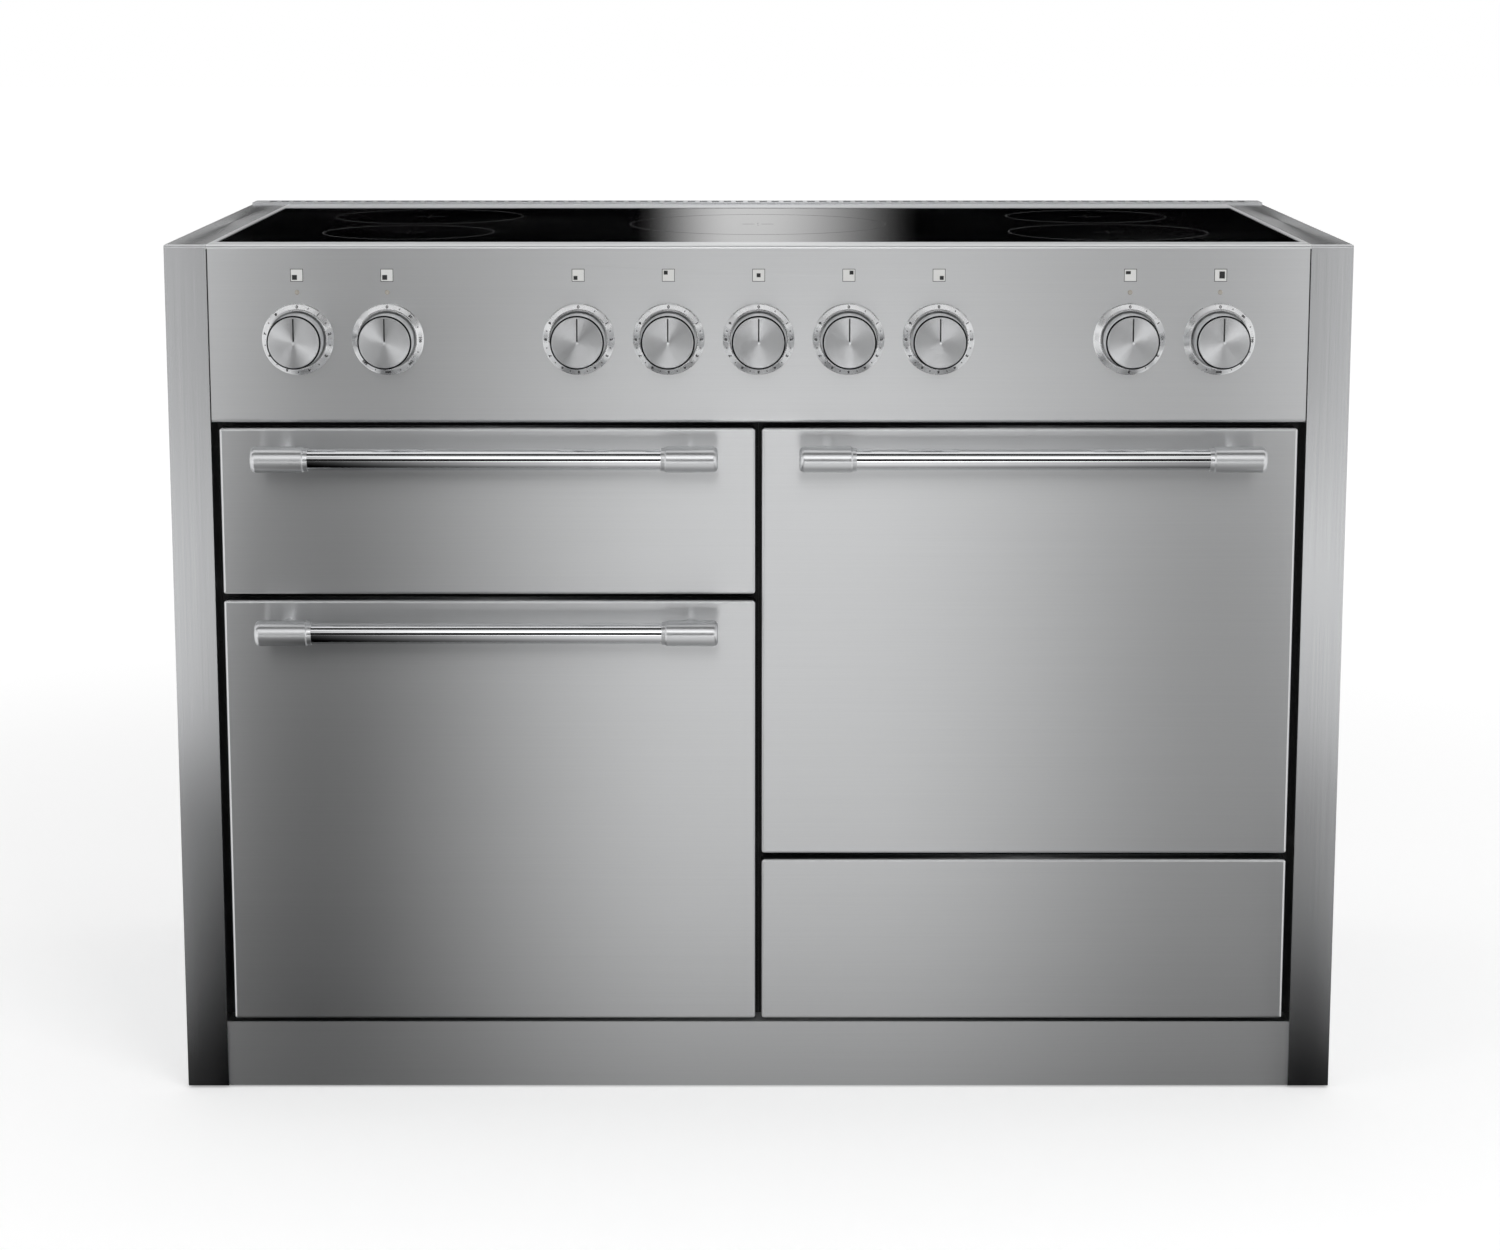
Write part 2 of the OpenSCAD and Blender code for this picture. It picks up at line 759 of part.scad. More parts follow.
// The hob frame: trim round the glass, the ledge below it and the flat strip behind it.
module hob_frame() {
    color(stainless) in_place() difference() {
        block([-inner_x, panel_top_d, frame_under], [inner_x, vent_y, cooker_h]);
        block([-glass_w / 2, glass_y, glass_z], [glass_w / 2, strip_y, cooker_h + 1]);
        block([-glass_w / 2 + ledge_w, glass_y + ledge_w, frame_under - 1],
            [glass_w / 2 - ledge_w, strip_y - ledge_w, cooker_h]);
        block([-inner_x + sheet, strip_y + sheet, frame_under - 1],
            [inner_x - sheet, vent_y - sheet, cooker_h - sheet]);
    }
}

// The rear vent: a folded cap across the whole width, with a row of slots.
module rear_vent() {
    count = floor((cooker_w - 20) / slot_pitch);
    depth = cooker_d - vent_y;
    color(stainless) in_place() difference() {
        block([-cooker_w / 2, vent_y, vent_z], [cooker_w / 2, cooker_d, cooker_h + vent_rise]);
        block([-cooker_w / 2 + sheet, vent_y + sheet, vent_z - 1],
            [cooker_w / 2 - sheet, cooker_d - sheet, cooker_h + vent_rise - sheet]);
        for (i = [0:count - 1])
            translate([(i - (count - 1) / 2) * slot_pitch, vent_y + (depth - slot_l) / 2, vent_z])
                translate([-slot_w / 2, 0, 0]) cube([slot_w, slot_l, vent_h + 1]);
    }
}

// Middle and radius of each cooking zone, seen from above.
zone_x = column_x + zone_out;
zones = [
    [-zone_x, glass_y + zone_in, zone_small_r], [-zone_x, strip_y - zone_in, zone_medium_r],
    [0, (glass_y + strip_y) / 2, zone_large_r],
    [zone_x, glass_y + zone_in, zone_medium_r], [zone_x, strip_y - zone_in, zone_small_r]
];

// Five flat coils with their turns cut as grooves, pressed up under the glass.
module induction_coils() {
    color(copper) in_place()
        for (zone = zones) translate([zone[0], zone[1], deck_z]) difference() {
            cylinder(r = zone[2], h = coil_t);
            translate([0, 0, -1]) cylinder(r = 22, h = coil_t + 2);
            for (r = [32:10:zone[2] - 6]) translate([0, 0, coil_t - 3]) difference() {
                cylinder(r = r + 2, h = 4);
                cylinder(r = r, h = 4);
            }
        }
}

// Two aluminium housings with the power electronics, hung from the hob frame's ledge.
module induction_housings() {
    color(galvanised) in_place() for (side = [-1, 1]) mirror([side < 0 ? 1 : 0, 0, 0]) {
        y0 = glass_y + ledge_w + 1;
        y1 = strip_y - ledge_w - 1;
        x1 = glass_w / 2 - ledge_w + 4;
        block([centre_gap / 2, y0, deck_z - sheet], [x1, y1, deck_z]);
        block([x1 - 4, y0, deck_z - sheet], [x1, y1, frame_under]);
        block([centre_gap / 2, y0, deck_z - module_h], [x1 - 14, y1, deck_z - sheet]);
    }
}

// A fan wheel turning about Y: a back disc, a hub, forward-leaning blades and its shaft.
module fan_wheel(x, y, z, d, shaft_l) {
    translate([x, y, z]) rotate([90, 0, 0]) {
        cylinder(d = d, h = sheet);
        cylinder(d = fan_hub_d, h = blade_l);
        translate([0, 0, -shaft_l]) cylinder(d = shaft_d, h = shaft_l + 1);
        for (i = [0:fan_blades - 1]) rotate(i * 360 / fan_blades)
            translate([d / 2 - 14, 0, sheet / 2]) rotate(35)
                translate([-12, -sheet / 2, 0]) cube([24, sheet, blade_l]);
    }
}

module left_oven_fan() {
    color(stainless) in_place() fan_wheel(-column_x, wall_y - fan_gap, left_cavity_z + cavity_h / 2,
        fan_d, 2 * fan_gap + motor_l / 2);
}

module right_oven_fan() {
    color(stainless) in_place() fan_wheel(column_x, wall_y - fan_gap, right_cavity_z + cavity_h / 2,
        fan_d, 2 * fan_gap + motor_l / 2);
}

cooling_z = frame_under - 90;

module cooling_fan() {
    color(black_plastic) in_place() fan_wheel(0, back_y - motor_l - fan_gap, cooling_z,
        fan_d - 20, fan_gap + motor_l / 2);
}

// Three fan motors: one behind each oven and one for the hob, on the back panel.
module fan_motors() {
    places = [
        [-column_x, wall_y + fan_gap, left_cavity_z + cavity_h / 2],
        [column_x, wall_y + fan_gap, right_cavity_z + cavity_h / 2],
        [0, back_y - motor_l, cooling_z]
    ];
    color(galvanised) in_place() for (p = places) translate(p) rotate([-90, 0, 0]) difference() {
        linear_extrude(motor_l) {
            circle(d = motor_d);
            for (a = [0:60:300]) rotate(a) translate([motor_d / 2 - 4, -3]) square([8, 6]);
        }
        translate([0, 0, -1]) cylinder(r = shaft_d / 2 + running_fit, h = motor_l / 2 + 2);
    }
}

// The fan covers: folded plates in front of the fans, with a round grille of radial slots.
module fan_covers() {
    w = cavity_w - 90;
    h = cavity_h - 60;
    color(black_enamel) in_place()
        for (m = [[-column_x, left_cavity_z + 30], [column_x, right_cavity_z + 30]]) difference() {
            along_y(wall_y - plenum_d, plenum_d) translate([m[0] - w / 2, m[1]]) round_rect(w, h, 12);
            along_y(wall_y - plenum_d + sheet, plenum_d)
                translate([m[0] - w / 2 + sheet, m[1] + sheet]) round_rect(w - 2 * sheet, h - 2 * sheet, 11);
            for (a = [0:15:345]) translate([m[0], wall_y - plenum_d - 1, m[1] + h / 2]) rotate([0, a, 0])
                translate([24, 0, -2]) cube([34, sheet + 2, 4]);
            for (side = [-1, 1], i = [-4:4])
                translate([m[0] + side * w / 2 - 2, wall_y - plenum_d + 10, m[1] + h / 2 + i * 24 - 6])
                    cube([4, plenum_d - 18, 12]);
        }
}

// A ring element round each oven fan, and the grill's element in six runs.
module heating_elements() {
    r = element_d / 2;
    run_x = cavity_w / 2 - 60;
    run_step = 50;
    element_z = grill_z + grill_h - 16;
    y0 = frame_back + 90;
    color(galvanised) in_place() {
        for (m = [[-column_x, left_cavity_z], [column_x, right_cavity_z]])
            translate([m[0], wall_y - plenum_d / 2, m[1] + cavity_h / 2]) rotate([90, 0, 0]) {
                rotate([0, 0, 100]) rotate_extrude(angle = 340) translate([ring_element_r, 0]) circle(r);
                for (a = [100, 80]) rotate(a) translate([ring_element_r, 0, -plenum_d / 2])
                    cylinder(r = r, h = plenum_d / 2);
            }
        for (i = [0:5]) translate([-column_x - run_x, y0 + i * run_step, element_z])
            rotate([0, 90, 0]) cylinder(r = r, h = 2 * run_x);
        for (i = [0:4]) translate([-column_x, y0 + (i + 0.5) * run_step, element_z])
            translate([i % 2 == 0 ? run_x : -run_x, 0, 0]) rotate(i % 2 == 0 ? -90 : 90)
                rotate_extrude(angle = 180) translate([run_step / 2, 0]) circle(r);
        for (x = [-1, 1]) translate([-column_x + x * run_x / 2, y0, element_z])
            cylinder(r = r - 1, h = grill_z + grill_h - element_z);
    }
}

// One wire ladder against a cavity wall, drawn for a wall at x whose room lies towards +X.
module ladder(x, z) {
    r = support_wire / 2;
    off = 8;
    y0 = frame_back + 50;
    y1 = wall_y - plenum_d - 30;
    top = z + rung_first + (rungs - 1) * rung_pitch;
    for (y = [y0, y1]) {
        translate([x + off, y, z + rung_first - 20]) cylinder(r = r, h = top - z - rung_first + 40);
        for (zz = [z + rung_first - 12, top + 12]) translate([x, y, zz]) rotate([0, 90, 0])
            cylinder(r = r - 0.5, h = off);
    }
    for (i = [0:rungs - 1], side = [0, 1])
        translate([x + off + side * 5, y0 - 15, z + rung_first + i * rung_pitch])
            rotate([-90, 0, 0]) cylinder(r = r, h = y1 - y0 + 30);
}

module shelf_supports() {
    color(polished) in_place()
        for (m = [[-column_x, left_cavity_z], [column_x, right_cavity_z]]) {
            ladder(m[0] - cavity_w / 2, m[1]);
            translate([m[0], 0, 0]) mirror([1, 0, 0]) ladder(-cavity_w / 2, m[1]);
        }
}

// A wire shelf that rests on the rungs of one level.
module shelf(x, z) {
    r = support_wire / 2;
    s = shelf_wire / 2;
    half = cavity_w / 2 - 15;
    y0 = frame_back + 30;
    y1 = wall_y - plenum_d - 12;
    bars = floor((2 * half - 20) / shelf_pitch);
    for (y = [y0, y1]) translate([x - half - r, y, z]) rotate([0, 90, 0])
        cylinder(r = r, h = 2 * (half + r));
    for (side = [-1, 1]) translate([x + side * half, y0, z]) rotate([-90, 0, 0])
        cylinder(r = shelf_side_r, h = y1 - y0);
    for (i = [0:bars - 1]) translate([x + (i - (bars - 1) / 2) * shelf_pitch, y0, z])
        rotate([-90, 0, 0]) cylinder(r = s, h = y1 - y0);
}

module oven_shelves() {
    lift = support_wire / 2 + shelf_side_r + clearance;
    color(polished) in_place()
        for (m = [[-column_x, left_cavity_z], [column_x, right_cavity_z]], level = [0, rungs - 1])
            shelf(m[0], m[1] + rung_first + level * rung_pitch + lift);
}

// The outer skin of a door, with slots for its hinge arms along the bottom edge.
module door_skin(x, z) {
    slot = hinge_arm_t + 3;
    color(stainless) in_place() translate([x, 0, z]) difference() {
        front_skin(door_h);
        for (side = [-1, 1]) translate([side * hinge_x, 0, 0])
            block([-slot / 2, hinge_set - 3, -1], [slot / 2, front_t + 1, 2 * sheet]);
    }
}

// The enamelled inner panel of a door: a flat flange and a raised part with slanted sides.
module door_inner(x, z) {
    w = column_w - 2 * sheet - 2 * clearance;
    z0 = hinge_zone;
    z1 = door_h - sheet - clearance;
    i = plug_inset;
    plug_h = z1 - z0 - 2 * i;
    h = door_back - front_back;
    color(black_enamel) in_place() translate([x, front_back, z]) difference() {
        union() {
            block([-w / 2, 0, z0], [w / 2, sheet, z1]);
            plug(w - 2 * i, plug_h, h, z0 + i);
        }
        translate([0, -sheet, 0]) plug(w - 2 * (i + sheet), plug_h - 2 * sheet, h, z0 + i + sheet);
    }
}

// A block with slanted sides, narrower towards the oven.
module plug(w, h, d, z) {
    intersection() {
        translate([0, 0, z]) linear_extrude(h)
            polygon([[-w / 2, 0], [w / 2, 0], [w / 2 - 6, d], [-w / 2 + 6, d]]);
        along_x(-w / 2, w) polygon([[0, z], [d, z + 6], [d, z + h - 6], [0, z + h]]);
    }
}

module left_door_skin() {
    door_skin(-column_x, left_door_bottom);
}

module left_door_inner() {
    door_inner(-column_x, left_door_bottom);
}

module right_door_skin() {
    door_skin(column_x, right_door_bottom);
}

module right_door_inner() {
    door_inner(column_x, right_door_bottom);
}

// A door's two hinge knuckles: cheeks on both sides of the fixed arm, with the pin through them.
module door_knuckles(x, z) {
    r = hinge_set - sheet - 0.5;
    cheek = 2.5;
    inside = hinge_arm_t / 2 + clearance;
    color(galvanised) in_place() for (side = [-1, 1]) translate([x + side * hinge_x, 0, z]) {
        for (c = [-inside - cheek, inside]) along_x(c, cheek) {
            translate([hinge_set, hinge_rise]) circle(r);
            translate([sheet, hinge_rise]) square([hinge_set - sheet + r - 1, hinge_strap_h]);
        }
        block([-inside - 12, sheet, hinge_rise + r + 4],
            [inside + 12, sheet + 2, hinge_rise + hinge_strap_h]);
        translate([-inside - cheek, hinge_set, hinge_rise]) rotate([0, 90, 0])
            cylinder(d = hinge_pin_d, h = 2 * (inside + cheek));
    }
}

module left_door_hinges() {
    door_knuckles(-column_x, left_door_bottom);
}

module right_door_hinges() {
    door_knuckles(column_x, right_door_bottom);
}

// A handle's bar, drawn at the top of its front.
module handle_bar(x, top) {
    half = ferrule_x + bar_seat;
    color(polished) in_place() translate([x - half, handle_y, top - handle_drop]) rotate([0, 90, 0])
        cylinder(d = bar_d, h = 2 * half);
}

// The two ferrules of a handle: turned sleeves with a taper and a round end, each on a standoff.
module handle_ends(x, top) {
    r = ferrule_d / 2;
    b = bar_d / 2;
    color(stainless) in_place() translate([x, handle_y, top - handle_drop])
        for (side = [0, 1]) mirror([side, 0, 0]) translate([ferrule_x, 0, 0]) difference() {
            union() {
                rotate([0, 90, 0]) rotate_extrude() {
                    polygon([
                        [0, 0], [b + 0.8, 0], [b + 1.2, ferrule_taper], [r, ferrule_taper + 1.5],
                        [r, ferrule_l - ferrule_r], [0, ferrule_l - ferrule_r]
                    ]);
                    translate([0, ferrule_l - ferrule_r - 1]) square([r - ferrule_r, ferrule_r + 1]);
                    intersection() {
                        translate([r - ferrule_r, ferrule_l - ferrule_r]) circle(ferrule_r);
                        translate([0, ferrule_l - ferrule_r - 1]) square([r + 1, ferrule_r + 2]);
                    }
                }
                translate([ferrule_l / 2, 0, 0]) rotate([-90, 0, 0]) cylinder(d = standoff_d, h = -handle_y);
            }
            translate([-1, 0, 0]) rotate([0, 90, 0]) cylinder(r = b + running_fit, h = bar_seat + 1);
        }
}

module grill_handle_bar() {
    handle_bar(-column_x, column_top);
}

module grill_handle_ends() {
    handle_ends(-column_x, column_top);
}

module left_handle_bar() {
    handle_bar(-column_x, left_door_bottom + door_h);
}

module left_handle_ends() {
    handle_ends(-column_x, left_door_bottom + door_h);
}

module right_handle_bar() {
    handle_bar(column_x, column_top);
}

module right_handle_ends() {
    handle_ends(column_x, column_top);
}

module grill_front() {
    color(stainless) in_place() translate([-column_x, 0, grill_bottom]) front_skin(small_front_h);
}

module drawer_front() {
    color(stainless) in_place() translate([column_x, 0, drawer_bottom]) front_skin(small_front_h);
}

// A rail of C section against a wall at x = 0: web, two flanges and an open side.
module c_rail(x0, x1, web_x, h, y0, length) {
    along_y(y0, length) {
        translate([web_x, -h / 2]) square([rail_sheet, h]);
        for (z = [-h / 2, h / 2 - rail_sheet]) translate([x0, z]) square([x1 - x0, rail_sheet]);
    }
}

step = rail_sheet + rail_play;

module fixed_rail() {
    c_rail(0, runner_t - 1, 0, rail_h, rail_y, rail_l);
}

module middle_rail() {
    c_rail(step, runner_t - 1, step, rail_h - 2 * step, rail_y + 2, rail_l - 10);
}

module inner_rail(y0) {
    c_rail(2 * step, runner_t, runner_t - rail_sheet, rail_h - 4 * step, y0, rail_y + rail_l - 10 - y0);
}

// Puts a left-hand rail and its mirror image on the two walls of a compartment.
module rail_pair(x, w, z) {
    translate([x, 0, z]) for (side = [0, 1]) mirror([side, 0, 0]) translate([-w / 2, 0, 0]) children();
}

module runner_rails() {
    color(galvanised) in_place() {
        rail_pair(-column_x, cavity_w, grill_rail_z) fixed_rail();
        rail_pair(column_x, housing_w, drawer_rail_z) fixed_rail();
    }
}

module grill_runner_middles() {
    color(galvanised) in_place() rail_pair(-column_x, cavity_w, grill_rail_z) middle_rail();
}

module drawer_runner_middles() {
    color(galvanised) in_place() rail_pair(column_x, housing_w, drawer_rail_z) middle_rail();
}

// The plate that closes the back of a sliding front.
module closing_plate() {
    w = column_w - 2 * sheet - 2 * clearance;
    block([-w / 2, front_back, sheet + clearance], [w / 2, front_t, small_front_h - sheet - clearance]);
}

// The grill's sliding frame: closing plate, two sides on the inner rails, and two cross bars.
module grill_carriage() {
    half = cavity_w / 2 - runner_t;
    y1 = rail_y + rail_l - 10;
    color(galvanised) in_place() {
        translate([-column_x, 0, grill_bottom]) closing_plate();
        rail_pair(-column_x, cavity_w, grill_rail_z) inner_rail(front_back);
        for (side = [0, 1]) translate([-column_x, 0, 0]) mirror([side, 0, 0])
            block([half - 2, front_back, grill_rail_z - 14], [half, y1, grill_rail_z + 12]);
        for (y = [frame_back + 40, frame_back + pan_d])
            block([-column_x - half, y, grill_rail_z - 14], [-column_x + half, y + 12, grill_rail_z - 12]);
    }
}

// The grill pan: a drawn tray with a rim, standing on the carriage's cross bars.
module grill_pan() {
    half = cavity_w / 2 - runner_t - 2 - 6;
    y0 = frame_back + 25;
    z = grill_rail_z - 12;
    color(black_enamel) in_place() difference() {
        translate([-column_x - half, y0, z]) union() {
            translate([4, 4, 0]) linear_extrude(pan_h) round_rect(2 * half - 8, pan_d - 8, 14);
            translate([0, 0, pan_h - sheet]) linear_extrude(sheet) round_rect(2 * half, pan_d, 18);
        }
        translate([-column_x - half + 4 + sheet, y0 + 4 + sheet, z + sheet]) linear_extrude(pan_h)
            round_rect(2 * half - 8 - 2 * sheet, pan_d - 8 - 2 * sheet, 12.5);
    }
}

// The trivet: a wire grid that stands in the pan on four short legs.
module grill_trivet() {
    r = trivet_wire / 2;
    half = cavity_w / 2 - runner_t - 30;
    y0 = frame_back + 45;
    len = pan_d - 40;
    floor_z = grill_rail_z - 12 + sheet;
    z = grill_rail_z - 12 + pan_h + r + 1;
    bars = floor((2 * half - 10) / trivet_pitch);
    color(polished) in_place() translate([-column_x, 0, 0]) {
        for (y = [y0, y0 + len]) translate([-half, y, z]) rotate([0, 90, 0]) cylinder(r = r, h = 2 * half);
        for (i = [0:bars - 1]) translate([(i - (bars - 1) / 2) * trivet_pitch, y0, z])
            rotate([-90, 0, 0]) cylinder(r = r - 0.4, h = len);
        for (x = [-half + 12, half - 12], y = [y0, y0 + len]) translate([x, y, floor_z])
            cylinder(r = r, h = z - floor_z);
    }
}

// The drawer box: closing plate, floor, three walls and the inner rails of its runners.
module drawer_box() {
    half = housing_w / 2 - runner_t;
    z = housing_z + 8;
    y1 = drawer_d + front_t;
    color(galvanised) in_place() {
        translate([column_x, 0, drawer_bottom]) closing_plate();
        rail_pair(column_x, housing_w, drawer_rail_z) inner_rail(front_back);
        translate([column_x, 0, 0]) difference() {
            block([-half, front_back, z], [half, y1, z + drawer_wall_h]);
            block([-half + sheet, front_t, z + sheet], [half - sheet, y1 - sheet, z + drawer_wall_h + 1]);
        }
    }
}

side_panel_left();
side_panel_right();
base_tray();
back_panel();
drawer_housing();
front_frame();
plinth();
levelling_feet();
terminal_cover();
control_panel();
knob_bezels();
left_oven_function_knob();
left_oven_temperature_knob();
hob_zone_1_knob();
hob_zone_2_knob();
hob_zone_3_knob();
hob_zone_4_knob();
hob_zone_5_knob();
grill_knob();
right_oven_temperature_knob();
control_switches();
neon_lenses();
hob_glass();
hob_frame();
rear_vent();
induction_coils();
induction_housings();
cooling_fan();
fan_motors();
grill_liner();
heating_elements();
grill_front();
grill_handle_bar();
grill_handle_ends();
grill_carriage();
grill_pan();
grill_trivet();
grill_runner_middles();
runner_rails();
drawer_front();
drawer_box();
drawer_runner_middles();
left_oven_liner();
left_door_skin();
left_door_inner();
left_handle_bar();
left_handle_ends();
left_door_hinges();
left_oven_fan();
right_oven_liner();
right_door_skin();
right_door_inner();
right_handle_bar();
right_handle_ends();
right_door_hinges();
right_oven_fan();
oven_seals();
oven_shelves();
shelf_supports();
fan_covers();
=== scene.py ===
import math

import bmesh
import bpy
from mathutils import Matrix, Vector


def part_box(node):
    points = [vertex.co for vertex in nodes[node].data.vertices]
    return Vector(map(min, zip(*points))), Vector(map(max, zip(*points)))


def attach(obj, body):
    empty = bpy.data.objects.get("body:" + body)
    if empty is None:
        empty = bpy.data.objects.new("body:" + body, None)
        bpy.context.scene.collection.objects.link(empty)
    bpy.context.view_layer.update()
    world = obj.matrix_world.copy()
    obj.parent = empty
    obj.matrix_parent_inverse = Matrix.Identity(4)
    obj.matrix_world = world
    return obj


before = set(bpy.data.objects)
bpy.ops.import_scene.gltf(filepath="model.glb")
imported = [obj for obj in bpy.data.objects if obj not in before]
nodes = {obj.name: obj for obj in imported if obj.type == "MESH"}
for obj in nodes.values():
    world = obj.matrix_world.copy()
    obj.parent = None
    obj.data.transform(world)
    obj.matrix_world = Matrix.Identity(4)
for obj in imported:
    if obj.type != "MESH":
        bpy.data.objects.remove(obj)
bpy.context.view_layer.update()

# Camera. It stands square to the doors, well back and a little above the hob. A small shift
# keeps the uprights nearly parallel.
camera_data = bpy.data.cameras.new("camera")
camera_data.lens = 74.136
camera_data.shift_y = -0.10
camera = bpy.data.objects.new("camera", camera_data)
camera.location = (-0.0088, -3.4202, 1.1667)
camera.rotation_euler = (math.pi / 2 - 0.1597, 0, 0)
bpy.context.scene.collection.objects.link(camera)
bpy.context.scene.camera = camera
bpy.context.scene.view_settings.view_transform = "Standard"


# Studio. A pale floor and a world that is white to the eye, to metal and to glass, but lights
# the room softly. Large soft boxes light the front, and cards shape what the metal mirrors.
def add_node(tree, kind, settings=None, links=None):
    """Adds a node, sets its properties and input values, and links its inputs."""
    made = tree.nodes.new(kind)
    for key, value in (settings or {}).items():
        if isinstance(key, str) and hasattr(made, key):
            setattr(made, key, value)
        else:
            made.inputs[key].default_value = value
    for key, source in (links or {}).items():
        tree.links.new(source, made.inputs[key])
    return made


def colour(text):
    """Turns an sRGB hex colour into linear RGBA."""
    parts = [int(text[i:i + 2], 16) / 255 for i in (1, 3, 5)]
    linear = [c / 12.92 if c <= 0.04045 else ((c + 0.055) / 1.055) ** 2.4 for c in parts]
    return (*linear, 1.0)


def seen_and_lit(tree, seen, lit):
    """Mixes what eye, metal and glass see with what the room's soft light sees."""
    path = add_node(tree, "ShaderNodeLightPath")
    eye = add_node(tree, "ShaderNodeMath", {"operation": "MAXIMUM"},
                   {0: path.outputs["Is Camera Ray"], 1: path.outputs["Is Glossy Ray"]})
    eye = add_node(tree, "ShaderNodeMath", {"operation": "MAXIMUM"},
                   {0: eye.outputs[0], 1: path.outputs["Is Transmission Ray"]})
    return add_node(tree, "ShaderNodeMixShader", {}, {0: eye.outputs[0], 1: lit, 2: seen})


world = bpy.data.worlds.new("studio")
world.use_nodes = True
bpy.context.scene.world = world
world_tree = world.node_tree
world_tree.nodes.clear()
white = add_node(world_tree, "ShaderNodeBackground", {"Color": (1, 1, 1, 1), "Strength": 1.0})
soft = add_node(world_tree, "ShaderNodeBackground", {"Color": (1, 1, 1, 1), "Strength": 0.5})
sky = seen_and_lit(world_tree, white.outputs[0], soft.outputs[0])
add_node(world_tree, "ShaderNodeOutputWorld", {}, {"Surface": sky.outputs[0]})


def blank_material(name):
    """Makes a material with an empty node tree and returns both."""
    material = bpy.data.materials.new(name)
    material.use_nodes = True
    material.node_tree.nodes.clear()
    return material, material.node_tree


def stage_card(name, points, faces, material):
    """Makes a flat card of the studio from its points and faces."""
    mesh = bpy.data.meshes.new(name)
    mesh.from_pydata(points, [], faces)
    mesh.materials.append(material)
    card = bpy.data.objects.new(name, mesh)
    bpy.context.scene.collection.objects.link(card)
    return card


# The floor is painted board with a glow of its own. It keeps the cooker's shadow; its glow is weaker
# near the cooker, a painted shade round its foot, and far from it the floor fades into the white.
floor_paint, tree = blank_material("pale_painted_floor")
paint = add_node(tree, "ShaderNodeBsdfDiffuse", {"Color": colour("#F4F4F4")})
place = add_node(tree, "ShaderNodeTexCoord").outputs["Object"]
away = add_node(tree, "ShaderNodeVectorMath", {"operation": "LENGTH"}, {0: place})
# The glow is painted shade near the cooker: weakest within 0.8 m of its middle, full from 3.5 m out.
fade = add_node(tree, "ShaderNodeMapRange",
                {"interpolation_type": "SMOOTHSTEP", 1: 0.8, 2: 3.5, 3: 0.34, 4: 0.57},
                {0: away.outputs["Value"]})
glow = add_node(tree, "ShaderNodeEmission", {}, {"Strength": fade.outputs[0]})
shown = add_node(tree, "ShaderNodeAddShader", {}, {0: paint.outputs[0], 1: glow.outputs[0]})
ground = seen_and_lit(tree, shown.outputs[0], paint.outputs[0])
add_node(tree, "ShaderNodeOutputMaterial", {}, {"Surface": ground.outputs[0]})
stage_card("floor", [(-30, -30, 0), (30, -30, 0), (30, 30, 0), (-30, 30, 0)], [(0, 1, 2, 3)],
           floor_paint)


# Reflection cards. Only metal and glass see them. All but the plain one overhead have their
# brightness painted on the mesh, so that it can fade from dark to bright.
card_paint, tree = blank_material("painted_reflection_card")
painted = add_node(tree, "ShaderNodeAttribute", {"attribute_name": "glow"})
glow = add_node(tree, "ShaderNodeEmission", {}, {"Strength": painted.outputs["Fac"]})
add_node(tree, "ShaderNodeOutputMaterial", {}, {"Surface": glow.outputs[0]})


def reflection_card(name, rows, material=card_paint):
    """Hangs a card from rows of (place, brightness) points."""
    wide = len(rows[0])
    faces = [(i, i + 1, i + wide + 1, i + wide) for i in range(wide * (len(rows) - 1)) if (i + 1) % wide]
    card = stage_card(name, [place for row in rows for place, shine in row], faces, material)
    layer = card.data.attributes.new("glow", "FLOAT", "POINT")
    layer.data.foreach_set("value", [shine for row in rows for place, shine in row])
    card.visible_camera = False
    card.visible_diffuse = False
    card.visible_shadow = False


def soft_step(value, start, end, low, high):
    """Goes smoothly from low, at the start, to high, at the end."""
    share = min(max((value - start) / (end - start), 0.0), 1.0)
    return low + (high - low) * share * share * (3 - 2 * share)


# On the floor in front lies the card that the doors mirror. It is a wedge that widens as it runs
# out: darker at its start and its sides, bright along its middle, and bright again beyond its edges.
rows = []
for y in [-0.2 - 0.05 * i for i in range(81)]:
    spread = 0.911 - 0.318 * y
    row = []
    for x in [-9.0, *[spread * (i - 35) / 50 for i in range(71)], 9.0]:
        wedge, across = x / spread, abs(x / spread)
        doors = soft_step(wedge, -0.50, -0.05, 0.0, 1.0) * soft_step(wedge, 0.10, 0.54, 1.0, 0.32)
        doors *= soft_step(y, -0.30, -1.10, 0.38, 0.96) * soft_step(y, -1.9, -3.6, 1.0, 3.2)
        doors *= soft_step(across, 0.53, 0.57, 1.0, 0.0)
        posts = soft_step(across, 0.555, 0.60, 0.0, 1.0) * soft_step(y, -1.5, -1.95, 0.02, 1.0)
        posts *= soft_step(wedge, -0.1, 0.1, 1.4, 1.05)
        row.append(((x, y, 0.001), max(doors, posts, soft_step(across, 0.615, 0.655, 0.0, 0.98))))
    rows.append(row)
reflection_card("floor_card", rows)

# Behind the cooker hangs a low strip that the hob glass mirrors: black, with a soft white patch.
rows = []
for z in (0.95, 1.45):
    rows.append([((x, 3.0, z), soft_step(x, -0.24, -0.04, 0.0, 0.85) * soft_step(x, 0.0, 0.34, 1.0, 0.0))
                 for x in [-4.0, *[-0.3 + 0.02 * i for i in range(36)], 4.0]])
reflection_card("hob_card", rows)

